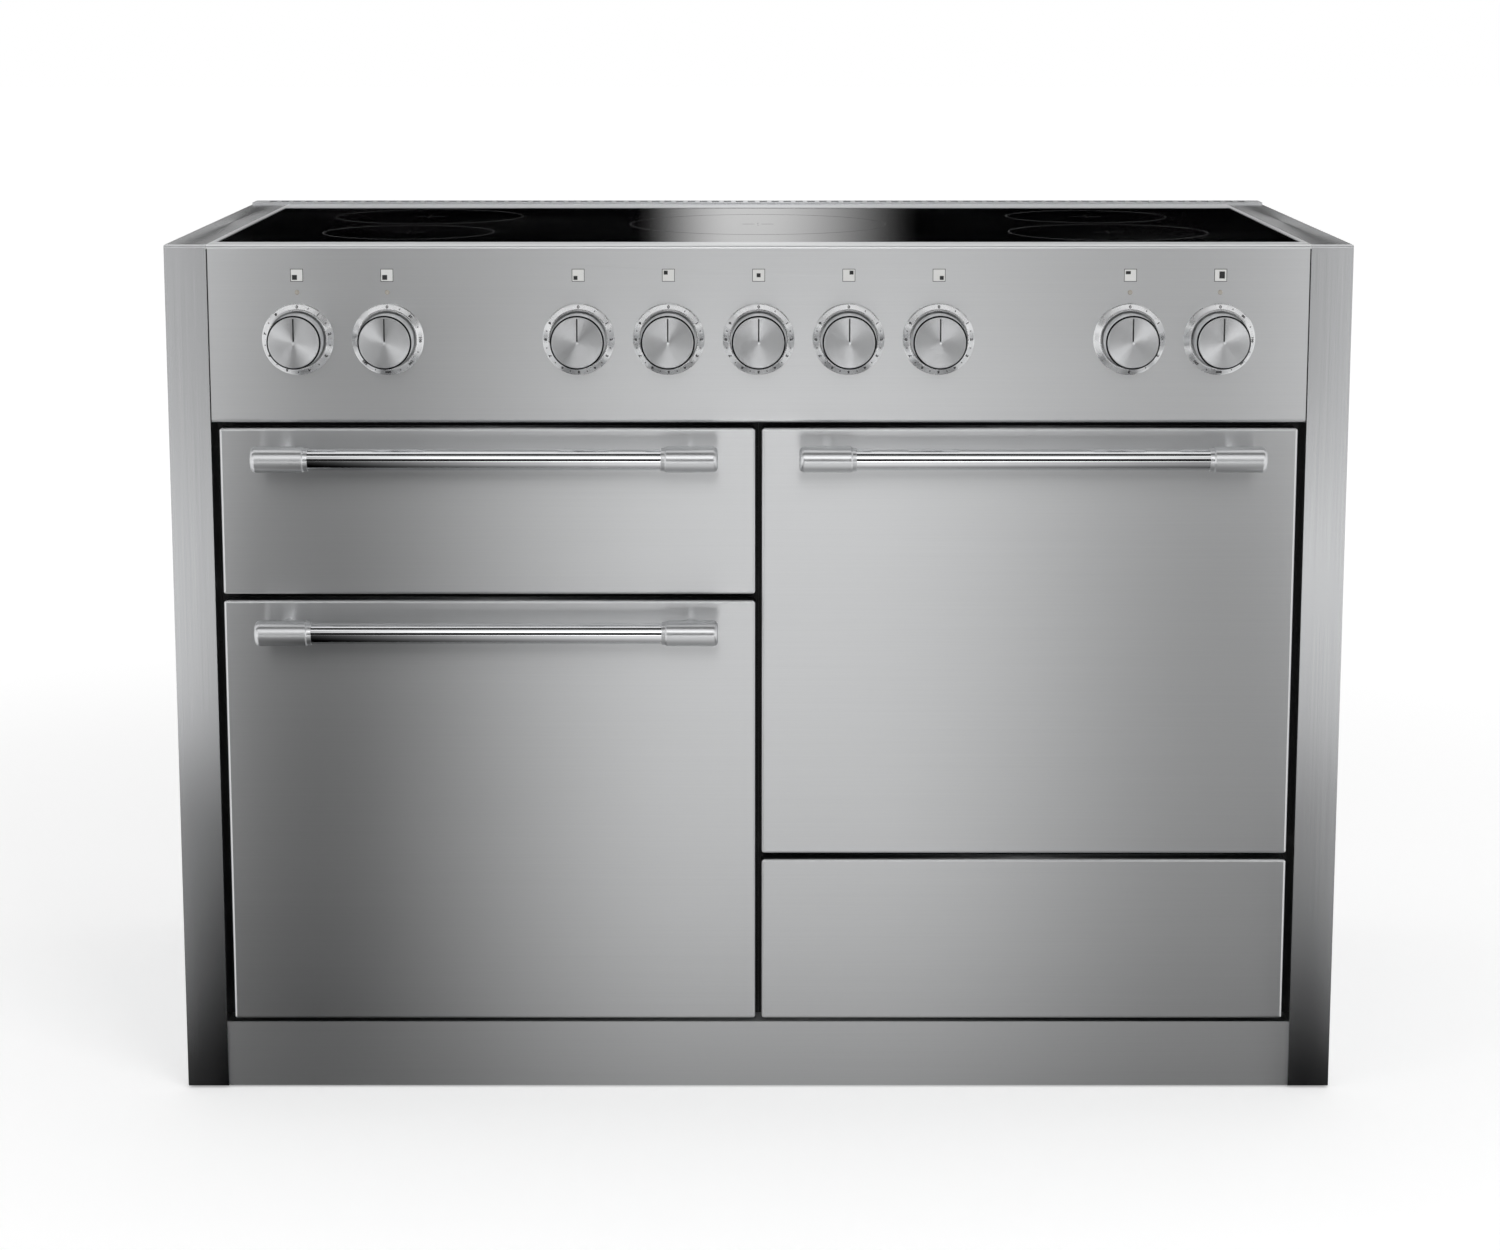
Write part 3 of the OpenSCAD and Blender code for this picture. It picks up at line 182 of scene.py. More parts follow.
# In front stands a wall card. Its foot is a dark strip, the dark band along the polished handles.
# Above that it is bright in the middle and darker to either side, as the doors are.
rows = []
for z in [0.05 * i for i in range(69)]:
    row = []
    for x in [-9.0, *[-1.6 + 0.05 * i for i in range(65)], 9.0]:
        above = soft_step(x, -1.45, -0.25, 0.04, 2.5) * soft_step(x, 0.3, 1.5, 1.0, 0.08)
        above *= soft_step(z, 1.65, 1.95, 0.0, 1.0)
        row.append(((x, -4.2, z), max(above, soft_step(abs(x), 1.24, 1.34, 0.02, 1.1))))
    rows.append(row)
reflection_card("wall_card", rows)

# Overhead hangs a dark card. It draws the dark upper edge of the polished handles.
dark_paint, tree = blank_material("dark_reflection_card")
glow = add_node(tree, "ShaderNodeEmission", {"Strength": 0.06})
add_node(tree, "ShaderNodeOutputMaterial", {}, {"Surface": glow.outputs[0]})
reflection_card("overhead_card", [[((x, y, 4.2), 0.0) for x in (-8.0, 8.0)] for y in (-3.4, -1.3)],
                dark_paint)


def soft_box(name, place, aim, width, height, watts):
    """Hangs a soft box that lights but isn't mirrored, and turns it to what it lights."""
    data = bpy.data.lights.new(name, "AREA")
    data.shape = "RECTANGLE"
    data.size = width
    data.size_y = height
    data.energy = watts
    lamp = bpy.data.objects.new(name, data)
    lamp.location = place
    lamp.rotation_euler = (Vector(aim) - Vector(place)).to_track_quat("-Z", "Y").to_euler()
    lamp.visible_glossy = False
    bpy.context.scene.collection.objects.link(lamp)


soft_box("key", (1.8, -3.2, 3.2), (0, 0, 0.6), 2.2, 1.6, 38)
soft_box("fill", (-3.2, -2.6, 2.0), (0, 0, 0.5), 1.6, 2.4, 12)
soft_box("top", (0, 0.3, 3.4), (0, 0, 0.9), 2.6, 1.4, 16)


# Side panels. Each is a double-skinned box folded from 1.5 mm stainless sheet, 43 mm wide, with
# its grain running upright. Everything else hangs between the two.
def finish(material, *names):
    """Gives CAD nodes their finish."""
    for name in names:
        node = nodes[name]
        if not node.material_slots:
            node.data.materials.append(material)
        for slot in node.material_slots:
            slot.material = material


def ground_steel(name, grain_axis, tint, roughness, anisotropic, turn=0.25, round_axis="Z"):
    """Stainless ground with a fine belt. The real scratches are 0.1 mm apart, too fine for the
    render, so they are drawn 1.2 mm apart and 250 mm long; broad clouds vary the polish. A turn
    of 0.25 spreads its reflections upwards, as scratches that run sideways do."""
    material, tree = blank_material(name)
    place = add_node(tree, "ShaderNodeTexCoord").outputs["Object"]
    spacing = [830.0, 830.0, 830.0]
    spacing["XYZ".index(grain_axis)] = 4.0
    along = add_node(tree, "ShaderNodeMapping", {"Scale": spacing}, {"Vector": place})
    scratches = add_node(tree, "ShaderNodeTexNoise", {"Scale": 1.0, "Detail": 3.0, "Roughness": 0.65},
                         {"Vector": along.outputs[0]})
    clouds = add_node(tree, "ShaderNodeTexNoise", {"Scale": 3.0, "Detail": 3.0}, {"Vector": place})
    shade = add_node(tree, "ShaderNodeMix", {"data_type": "RGBA", 6: colour(tint[0]), 7: colour(tint[1])},
                     {0: scratches.outputs[0]})
    matt = add_node(tree, "ShaderNodeMapRange", {1: 0.1, 2: 0.9, 3: roughness - 0.03, 4: roughness + 0.03},
                    {0: clouds.outputs[0]})
    relief = add_node(tree, "ShaderNodeBump", {"Strength": 0.03, "Distance": 0.0002},
                      {"Height": scratches.outputs[0]})
    flow = add_node(tree, "ShaderNodeTangent", {"direction_type": "RADIAL", "axis": round_axis})
    surface = add_node(tree, "ShaderNodeBsdfPrincipled",
                       {"Metallic": 1.0, "Anisotropic": anisotropic, "Anisotropic Rotation": turn},
                       {"Base Color": shade.outputs[2], "Roughness": matt.outputs[0],
                        "Normal": relief.outputs[0], "Tangent": flow.outputs[0]})
    add_node(tree, "ShaderNodeOutputMaterial", {}, {"Surface": surface.outputs[0]})
    return material


side_steel = ground_steel("ground_stainless_side_panel", "Z", ("#C4C5C7", "#D8D9DA"), 0.20, 0.5, turn=0.0)
finish(side_steel, "side_panel_left", "side_panel_right")


# Plinth. A folded stainless strip, ground lengthways, that clips on below the fronts. It is bare.
plinth_steel = ground_steel("ground_stainless_plinth", "X", ("#D2D3D4", "#D9DADB"), 0.38, 0.88)
finish(plinth_steel, "plinth")


# Feet and base. Moulded nylon pads on threaded stems, screwed into a galvanised tray.
def moulded_plastic(name, tint, roughness):
    """Moulded plastic with a fine even grain, 0.8 mm across as drawn; the same grain is on the black strips
    of painted shadow.
    """
    material, tree = blank_material(name)
    place = add_node(tree, "ShaderNodeTexCoord").outputs["Object"]
    pits = add_node(tree, "ShaderNodeTexNoise", {"Scale": 1200.0, "Detail": 2.0}, {"Vector": place})
    shade = add_node(tree, "ShaderNodeMix", {"data_type": "RGBA", 6: colour(tint[0]), 7: colour(tint[1])},
                     {0: pits.outputs[0]})
    matt = add_node(tree, "ShaderNodeMapRange", {3: roughness - 0.06, 4: roughness + 0.06},
                    {0: pits.outputs[0]})
    relief = add_node(tree, "ShaderNodeBump", {"Strength": 0.15, "Distance": 0.0002},
                      {"Height": pits.outputs[0]})
    surface = add_node(tree, "ShaderNodeBsdfPrincipled", {"IOR": 1.5},
                       {"Base Color": shade.outputs[2], "Roughness": matt.outputs[0],
                        "Normal": relief.outputs[0]})
    add_node(tree, "ShaderNodeOutputMaterial", {}, {"Surface": surface.outputs[0]})
    return material


foot_nylon = moulded_plastic("moulded_nylon_black", ("#161617", "#222223"), 0.55)
finish(foot_nylon, "levelling_feet")


def mottled_metal(name, tint, roughness):
    """Metal in patches about 12 mm across, each with its own grey and its own gloss. They are the
    spangle of hot-dip galvanised sheet, or the clouding of plated and oxidised parts."""
    material, tree = blank_material(name)
    place = add_node(tree, "ShaderNodeTexCoord").outputs["Object"]
    spangle = add_node(tree, "ShaderNodeTexVoronoi", {"Scale": 80.0, "Randomness": 1.0}, {"Vector": place})
    speck = add_node(tree, "ShaderNodeTexNoise", {"Scale": 500.0, "Detail": 3.0}, {"Vector": place})
    crystal = add_node(tree, "ShaderNodeSeparateColor", {}, {0: spangle.outputs["Color"]})
    blend = add_node(tree, "ShaderNodeMath", {"operation": "MULTIPLY_ADD", 1: 0.3},
                     {0: speck.outputs[0], 2: crystal.outputs[0]})
    shade = add_node(tree, "ShaderNodeMix", {"data_type": "RGBA", 6: colour(tint[0]), 7: colour(tint[1])},
                     {0: blend.outputs[0]})
    matt = add_node(tree, "ShaderNodeMapRange", {3: roughness - 0.08, 4: roughness + 0.10},
                    {0: crystal.outputs[1]})
    surface = add_node(tree, "ShaderNodeBsdfPrincipled", {"Metallic": 1.0},
                       {"Base Color": shade.outputs[2], "Roughness": matt.outputs[0]})
    add_node(tree, "ShaderNodeOutputMaterial", {}, {"Surface": surface.outputs[0]})
    return material


zinc_sheet = mottled_metal("galvanised_steel_sheet", ("#A5A8AB", "#B7BABC"), 0.42)
finish(zinc_sheet, "base_tray", "back_panel", "terminal_cover")


# Back panel fixings. Zinc-plated hexagon screws, with a flange 10 mm across, hold the back panel
# and the terminal cover along their edges.
def mesh_piece(name, bm, material, body):
    """Turns a finished mesh into a piece that rides on a body."""
    bmesh.ops.remove_doubles(bm, verts=bm.verts, dist=1e-6)
    bmesh.ops.recalc_face_normals(bm, faces=bm.faces)
    mesh = bpy.data.meshes.new(name)
    bm.to_mesh(mesh)
    bm.free()
    mesh.materials.append(material)
    piece = bpy.data.objects.new(name, mesh)
    bpy.context.scene.collection.objects.link(piece)
    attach(piece, body)
    return piece


def growing_tree(name, sizes):
    """Starts a tree that sets a form on every vertex of a piece, with named inputs for its sizes."""
    tree = bpy.data.node_groups.new(name, "GeometryNodeTree")
    tree.interface.new_socket(name="Places", in_out="INPUT", socket_type="NodeSocketGeometry")
    for label, value in sizes.items():
        socket = tree.interface.new_socket(name=label, in_out="INPUT", socket_type="NodeSocketFloat")
        socket.default_value = value
    tree.interface.new_socket(name="Forms", in_out="OUTPUT", socket_type="NodeSocketGeometry")
    return tree, add_node(tree, "NodeGroupInput").outputs


def grow(name, places, tree, form, material, body, sizes=None, turns=None):
    """Sets a form on every place, turned if turns are given, and rides the result on a body."""
    given = tree.nodes["Group Input"].outputs
    instances = add_node(tree, "GeometryNodeInstanceOnPoints", {},
                         {"Points": given["Places"], "Instance": form})
    if turns:
        turn = add_node(tree, "GeometryNodeInputNamedAttribute",
                        {"data_type": "FLOAT_VECTOR", "Name": "turn"})
        tree.links.new(turn.outputs[0], instances.inputs["Rotation"])
    real = add_node(tree, "GeometryNodeRealizeInstances", {}, {"Geometry": instances.outputs[0]})
    painted = add_node(tree, "GeometryNodeSetMaterial", {"Material": material},
                       {"Geometry": real.outputs[0]})
    add_node(tree, "NodeGroupOutput", {}, {"Forms": painted.outputs[0]})
    mesh = bpy.data.meshes.new(name + "_places")
    mesh.from_pydata(places, [], [])
    if turns:
        stored = mesh.attributes.new("turn", "FLOAT_VECTOR", "POINT")
        stored.data.foreach_set("vector", [angle for turn in turns for angle in turn])
    piece = bpy.data.objects.new(name, mesh)
    bpy.context.scene.collection.objects.link(piece)
    modifier = piece.modifiers.new("grow", "NODES")
    modifier.node_group = tree
    for item in tree.interface.items_tree:
        if item.in_out == "INPUT" and item.name in (sizes or {}):
            modifier[item.identifier] = sizes[item.name]
    graph = bpy.context.evaluated_depsgraph_get()
    grown = bpy.data.meshes.new_from_object(piece.evaluated_get(graph))
    piece.modifiers.remove(modifier)
    piece.data = grown
    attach(piece, body)
    return piece


screw_zinc = mottled_metal("zinc_plated_screws", ("#A9ABAC", "#C3C4C4"), 0.30)


def hex_screw_tree():
    """A hexagon head 7 mm across on a flange 10 mm across, pointing back."""
    tree, given = growing_tree("hex_screws", {"Flange radius": 0.005, "Hex radius": 0.0038,
                                              "Head height": 0.0032})
    flange = add_node(tree, "GeometryNodeMeshCone", {"Vertices": 20, "Depth": 0.0009, "Radius Top": 0.0044},
                      {"Radius Bottom": given["Flange radius"]})
    head = add_node(tree, "GeometryNodeMeshCone", {"Vertices": 6, "Radius Top": 0.0035},
                    {"Radius Bottom": given["Hex radius"], "Depth": given["Head height"]})
    joined = add_node(tree, "GeometryNodeJoinGeometry")
    tree.links.new(flange.outputs[0], joined.inputs[0])
    tree.links.new(head.outputs[0], joined.inputs[0])
    turned = add_node(tree, "GeometryNodeTransform", {"Rotation": (-math.pi / 2, 0, 0)},
                      {0: joined.outputs[0]})
    return tree, turned.outputs[0]


back_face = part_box("back_panel")[1].y
foot_and_top, columns = (0.075, 0.872), (-0.53, -0.265, 0.0, 0.265, 0.53)
side_edges, levels = (-0.552, 0.552), (0.23, 0.39, 0.55, 0.71)
screw_places = [(x, back_face, z) for x in columns for z in foot_and_top]
screw_places += [(x, back_face, z) for x in side_edges for z in levels]
tree, form = hex_screw_tree()
grow("back_panel_screws", screw_places, tree, form, screw_zinc, "cooker")
cover_low, cover_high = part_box("terminal_cover")
inset, foot_inset = 0.012, 0.022
cover_places = [(x, cover_high.y, z) for x in (cover_low.x + inset, cover_high.x - inset)
                for z in (cover_low.z + foot_inset, cover_high.z - inset)]
tree, form = hex_screw_tree()
grow("terminal_cover_screws", cover_places, tree, form, screw_zinc, "cooker",
     {"Flange radius": 0.0042, "Hex radius": 0.0032, "Head height": 0.0018})


# Fronts. The two door skins, the grill front and the drawer front are pressed from stainless
# sheet with folded edges, ground along their width. Below them the plinth ends the front.
front_steel = ground_steel("ground_stainless_front", "X", ("#D2D3D4", "#D9DADB"), 0.33, 0.95)
finish(front_steel, "left_door_skin", "right_door_skin", "grill_front", "drawer_front")


# Front frame. Enamelled mild steel that carries the ovens. Its near-black is partly its own enamel and
# partly painted shade, so that it shows black in the gaps.
def fired_enamel(name, tint, roughness, speckle=None):
    """Vitreous enamel, fired black. It is glossy, with orange peel 3 mm across; oven enamel has
    fine pale flecks, 2.4 mm apart."""
    material, tree = blank_material(name)
    place = add_node(tree, "ShaderNodeTexCoord").outputs["Object"]
    peel = add_node(tree, "ShaderNodeTexNoise", {"Scale": 330.0, "Detail": 2.0}, {"Vector": place})
    matt = add_node(tree, "ShaderNodeMapRange", {3: roughness - 0.04, 4: roughness + 0.06},
                    {0: peel.outputs[0]})
    relief = add_node(tree, "ShaderNodeBump", {"Strength": 0.12, "Distance": 0.0004},
                      {"Height": peel.outputs[0]})
    surface = add_node(tree, "ShaderNodeBsdfPrincipled", {"Base Color": colour(tint), "IOR": 1.52},
                       {"Roughness": matt.outputs[0], "Normal": relief.outputs[0]})
    if speckle:
        flecks = add_node(tree, "ShaderNodeTexVoronoi", {"Scale": 420.0}, {"Vector": place})
        dot = add_node(tree, "ShaderNodeMath", {"operation": "LESS_THAN", 1: 0.16},
                       {0: flecks.outputs["Distance"]})
        shade = add_node(tree, "ShaderNodeMix",
                         {"data_type": "RGBA", 6: colour(tint), 7: colour(speckle)},
                         {0: dot.outputs[0]})
        tree.links.new(shade.outputs[2], surface.inputs["Base Color"])
    add_node(tree, "ShaderNodeOutputMaterial", {}, {"Surface": surface.outputs[0]})
    return material


# The frame's near-black is partly painted shade for the gaps between the fronts.
frame_enamel_and_painted_shade = fired_enamel("fired_enamel_and_painted_shade_front_frame", "#0B0B0C", 0.45)
finish(frame_enamel_and_painted_shade, "front_frame")


# Handles. A polished stainless bar 22 mm across sits in two satin ferrules, which stand off from
# the front on short posts.
def polished_metal(name, tint, roughness):
    """Polished stainless or chrome plate: clear bands of light and dark, with a trace of hazing."""
    material, tree = blank_material(name)
    place = add_node(tree, "ShaderNodeTexCoord").outputs["Object"]
    haze = add_node(tree, "ShaderNodeTexNoise", {"Scale": 60.0, "Detail": 4.0}, {"Vector": place})
    shade = add_node(tree, "ShaderNodeMix", {"data_type": "RGBA", 6: colour(tint[0]), 7: colour(tint[1])},
                     {0: haze.outputs[0]})
    matt = add_node(tree, "ShaderNodeMapRange", {1: 0.3, 2: 0.7, 3: roughness, 4: roughness * 1.4},
                    {0: haze.outputs[0]})
    surface = add_node(tree, "ShaderNodeBsdfPrincipled", {"Metallic": 1.0},
                       {"Base Color": shade.outputs[2], "Roughness": matt.outputs[0]})
    add_node(tree, "ShaderNodeOutputMaterial", {}, {"Surface": surface.outputs[0]})
    return material


handle_polish = polished_metal("polished_stainless_handle_bar", ("#D9DADC", "#E4E5E6"), 0.05)
finish(handle_polish, "grill_handle_bar", "left_handle_bar", "right_handle_bar")
ferrule_satin = ground_steel("satin_stainless_ferrules", "X", ("#CBCCCE", "#D6D7D8"), 0.32, 0.3,
                             round_axis="X")
finish(ferrule_satin, "grill_handle_ends", "left_handle_ends", "right_handle_ends")


# Control panel. Stainless sheet rolled over at its top edge, ground along its width; nine spindles
# come through it.
panel_steel = ground_steel("ground_stainless_control_panel", "X", ("#D4D5D6", "#DBDCDD"), 0.31, 0.7)
finish(panel_steel, "control_panel")


# Panel end strips. Two black strips, painted shadow, lie on the joints between the control panel and
# the side panels, and show as a fine dark line 1.3 mm wide where the joints' shade falls.
def add_block(bm, low, high):
    """Adds a closed block between two corners."""
    low, high = Vector(low), Vector(high)
    corners = bmesh.ops.create_cube(bm, size=1.0)["verts"]
    for vert in corners:
        vert.co = (low + high) / 2 + Vector(a * b for a, b in zip(vert.co, high - low))


panel_shadow_black = moulded_plastic("painted_shadow_strip_black", ("#0D0D0E", "#18181A"), 0.7)
panel_low, panel_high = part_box("control_panel")
# Each strip is painted shadow: a black band 1.3 mm wide on the panel's face at its end.
strip_wide, strip_rise, strip_trim = 0.0013, 0.0002, 0.004
strips = bmesh.new()
for left in (panel_low.x, panel_high.x - strip_wide):
    add_block(strips, (left, panel_low.y - strip_rise, panel_low.z),
              (left + strip_wide, panel_low.y, panel_high.z - strip_trim))
mesh_piece("panel_end_shadow_strips", strips, panel_shadow_black, "cooker")


# Zone and oven signs. Above each knob a printed square shows which zone or oven it sets. The print
# is fired ink, black on pale, in coats 0.15 mm thick.
def screen_print(name, tint, roughness=0.5):
    """Fired screen print: matt ink with pinholes about 0.5 mm apart."""
    material, tree = blank_material(name)
    place = add_node(tree, "ShaderNodeTexCoord").outputs["Object"]
    pinholes = add_node(tree, "ShaderNodeTexNoise", {"Scale": 2000.0}, {"Vector": place})
    shade = add_node(tree, "ShaderNodeMix", {"data_type": "RGBA", 6: colour(tint[0]), 7: colour(tint[1])},
                     {0: pinholes.outputs[0]})
    surface = add_node(tree, "ShaderNodeBsdfPrincipled", {"Roughness": roughness, "IOR": 1.5},
                       {"Base Color": shade.outputs[2]})
    add_node(tree, "ShaderNodeOutputMaterial", {}, {"Surface": surface.outputs[0]})
    return material


black_ink = screen_print("black_fired_ink", ("#111112", "#262627"))
KNOBS = ["left_oven_function_knob", "left_oven_temperature_knob", "hob_zone_1_knob",
         "hob_zone_2_knob", "hob_zone_3_knob", "hob_zone_4_knob", "hob_zone_5_knob", "grill_knob",
         "right_oven_temperature_knob"]
ink_thick = 0.00015


def knob_axis(name):
    """Where a knob's axis meets the panel's face."""
    low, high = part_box(name)
    return Vector(((low.x + high.x) / 2, panel_low.y, (low.z + high.z) / 2))


# Each sign is a pale square 13 mm wide with a black mark at (left, bottom, width, height) in it.
pale_ink = screen_print("pale_fired_ink", ("#E4E4E2", "#F2F2F0"))
SIGN_MARKS = [(1.8, 1.8, 5, 5), (1.8, 1.8, 5, 5), (1.8, 1.8, 4, 4), (1.8, 7.2, 4, 4),
              (4.5, 4.5, 4, 4), (7.2, 7.2, 4, 4), (7.2, 1.8, 4, 4), (1.8, 7.6, 5, 3.2),
              (5.2, 3.2, 5.6, 7.2)]
sign_side, sign_line, sign_rise = 13.0, 0.5, 0.0655
grounds, marks = bmesh.new(), bmesh.new()
for name, (left, bottom, width, height) in zip(KNOBS, SIGN_MARKS):
    corner = knob_axis(name) + Vector((-sign_side / 2000, 0, sign_rise - sign_side / 2000))
    add_block(grounds, corner - Vector((0, ink_thick, 0)),
              corner + Vector((sign_side, 0, sign_side)) / 1000)
    edge = sign_side - sign_line
    inked = [(left, bottom, width, height), (0, 0, sign_side, sign_line), (0, 0, sign_line, sign_side),
             (0, edge, sign_side, sign_line), (edge, 0, sign_line, sign_side)]
    for x, z, wide, high in inked:
        low = corner + Vector((x, 0, z)) / 1000
        add_block(marks, low - Vector((0, 2 * ink_thick, 0)),
                  low + Vector((wide / 1000, -ink_thick, high / 1000)))
mesh_piece("sign_grounds", grounds, pale_ink, "cooker")
mesh_piece("sign_marks", marks, black_ink, "cooker")


# Knobs. Each is a steel cap, faced on a lathe and chamfered, that pushes onto its switch spindle.
# Fine rings round its face throw fans of light.
def turned_steel(name, centre):
    """Lathe-faced stainless. The real rings are 0.2 mm apart and are drawn 0.9 mm apart, so that
    they show; they run round the knob's own axis."""
    material, tree = blank_material(name)
    place = add_node(tree, "ShaderNodeTexCoord").outputs["Object"]
    local = add_node(tree, "ShaderNodeMapping", {"Location": tuple(-v for v in centre)},
                     {"Vector": place})
    rings = add_node(tree, "ShaderNodeTexWave",
                     {"wave_type": "RINGS", "rings_direction": "Y", "Scale": 350.0, "Distortion": 0.6,
                      "Detail": 1.0}, {"Vector": local.outputs[0]})
    shade = add_node(tree, "ShaderNodeMix",
                     {"data_type": "RGBA", 6: colour("#C6C7C9"), 7: colour("#DADBDC")},
                     {0: rings.outputs["Fac"]})
    matt = add_node(tree, "ShaderNodeMapRange", {3: 0.24, 4: 0.34}, {0: rings.outputs["Fac"]})
    relief = add_node(tree, "ShaderNodeBump", {"Strength": 0.10, "Distance": 0.0002},
                      {"Height": rings.outputs["Fac"]})
    flow = add_node(tree, "ShaderNodeTangent", {"direction_type": "RADIAL", "axis": "Y"})
    surface = add_node(tree, "ShaderNodeBsdfPrincipled",
                       {"Metallic": 1.0, "Anisotropic": 0.85, "Anisotropic Rotation": 0.25},
                       {"Base Color": shade.outputs[2], "Roughness": matt.outputs[0],
                        "Normal": relief.outputs[0], "Tangent": flow.outputs[0]})
    add_node(tree, "ShaderNodeOutputMaterial", {}, {"Surface": surface.outputs[0]})
    return material


def add_turned(bm, centre, profile, turn, steps=96):
    """Adds a closed ring, turned from a profile of radii and heights, round an axis at a centre."""
    rows = []
    for step in range(steps):
        angle = 2 * math.pi * step / steps
        spoke = Vector((math.cos(angle), math.sin(angle), 0))
        rows.append([bm.verts.new(centre + turn @ (radius * spoke + Vector((0, 0, height))))
                     for radius, height in profile])
    for step in range(steps):
        here, there = rows[step], rows[(step + 1) % steps]
        for i in range(len(profile)):
            j = (i + 1) % len(profile)
            bm.faces.new((here[i], there[i], there[j], here[j]))


# Each face has a black pointer, sunk 0.1 mm. On the chamfer round it, where radius and height add
# up to the same sum all the way, lies a fine dark ring: painted shadow in place of the gap's shade.
forwards = Matrix.Rotation(math.pi / 2, 3, "X")
# The dark polished ring on each chamfer is painted shadow, standing in for the gap round the face.
knob_shadow_black = polished_metal("painted_shadow_knob_line", ("#1B1B1D", "#28282A"), 0.28)
line_in, line_out, line_rise, face_radius = 0.0258, 0.02745, 0.00004, 0.0253
pointer_half, pointer_front, pointer_back = 0.0007, 0.0001, 0.0006
pointer_start, pointer_margin = 0.0012, 0.0030
for name in KNOBS:
    axis = knob_axis(name)
    finish(turned_steel("turned_steel_" + name, axis), name)
    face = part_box(name)[0].y
    rim = (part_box(name)[1].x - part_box(name)[0].x) / 2
    pointer = bmesh.new()
    add_block(pointer, (axis.x - pointer_half, face + pointer_front, axis.z + pointer_start),
              (axis.x + pointer_half, face + pointer_back, axis.z + rim - pointer_margin))
    mesh_piece(name + "_pointer", pointer, black_ink, name)
    chamfer = axis.y - face + face_radius
    line = bmesh.new()
    add_turned(line, axis, [(line_in, chamfer - line_in), (line_out, chamfer - line_out),
                            (line_out + line_rise, chamfer - line_out + line_rise),
                            (line_in + line_rise, chamfer - line_in + line_rise)], forwards)
    mesh_piece(name + "_line", line, knob_shadow_black, name)


# Dial rings. Nine cones pressed from steel and satin-chromed sit round the knobs, clipped through
# the panel, with printed marks on their slopes.
ring_chrome = polished_metal("satin_chrome_dial_rings", ("#E2E3E4", "#ECECED"), 0.22)
finish(ring_chrome, "knob_bezels")

# The middle of a ring's slope: distance from the axis, height off the panel, and its tilt. Then the
# figures: their two sizes, how much their strokes are thickened, and where their middle lies.
slope_r, slope_out, slope_tilt = 0.03358, 0.00385, math.atan2(4.1, 4.35)
small_figure, large_figure, figure_weight, figure_middle = 0.0040, 0.0052, 0.00016, 0.36


def on_slope(axis, angle, across, along, out):
    """A place on a dial ring: clockwise angle from the top, then across, along and off its slope."""
    radius = slope_r + along * math.cos(slope_tilt) + out * math.sin(slope_tilt)
    height = slope_out - along * math.sin(slope_tilt) + out * math.cos(slope_tilt)
    return axis + Vector((radius * math.sin(angle) + across * math.cos(angle), -height,
                          radius * math.cos(angle) - across * math.sin(angle)))


def add_figure(bm, text, size, axis, angle):
    """Adds a number to a dial ring, standing outwards on its slope."""
    curve = bpy.data.curves.new(text, "FONT")
    curve.body = text
    curve.size = size
    curve.align_x = "CENTER"
    curve.extrude = ink_thick
    curve.offset = figure_weight
    curve.resolution_u = 2
    figure = bpy.data.objects.new(text, curve)
    bpy.context.scene.collection.objects.link(figure)
    bpy.context.view_layer.update()
    mesh = bpy.data.meshes.new_from_object(figure.evaluated_get(bpy.context.evaluated_depsgraph_get()))
    for vert in mesh.vertices:
        x, y, z = vert.co
        vert.co = on_slope(axis, angle, x, y - size * figure_middle, z)
    bm.from_mesh(mesh)
    bpy.data.objects.remove(figure)
    bpy.data.meshes.remove(mesh)


# The figures on each dial, with their clockwise angles in degrees, and the ticks between them.
OVEN_DIAL = [("0", 0), ("50", 45), ("100", 90), ("150", 135), ("200", 180), ("250", 225)]
ZONE_DIAL = [("0", 0)] + [(str(step), 30 + step * 30) for step in range(1, 10)]
MODE_DIAL = [("0", 0)] + [(str(step), step * 40) for step in range(1, 9)]
GRILL_DIAL = [("0", 0), ("1", 60), ("2", 120), ("3", 180)]
DIALS = [MODE_DIAL, OVEN_DIAL] + [ZONE_DIAL] * 5 + [GRILL_DIAL, OVEN_DIAL]
figures = bmesh.new()
tick_places, tick_turns = [], []
for name, dial in zip(KNOBS, DIALS):
    for text, degrees in dial:
        size = small_figure if len(text) > 1 else large_figure
        add_figure(figures, text, size, knob_axis(name), math.radians(degrees))
    for (_, start), (_, end) in zip(dial, dial[1:]):
        angle = math.radians((start + end) / 2)
        tick_places.append(on_slope(knob_axis(name), angle, 0, 0, 0))
        tick_turns.append((-slope_tilt, angle, 0))
mesh_piece("dial_figures", figures, black_ink, "cooker")
tree, given = growing_tree("dial_ticks", {"Tick length": 0.0018, "Tick width": 0.0009})
tick_size = add_node(tree, "ShaderNodeCombineXYZ", {"Y": 2 * ink_thick},
                     {"X": given["Tick width"], "Z": given["Tick length"]})
tick = add_node(tree, "GeometryNodeMeshCube", {}, {"Size": tick_size.outputs[0]})
grow("dial_ticks", tick_places, tree, tick.outputs[0], black_ink, "cooker",
     turns=tick_turns)


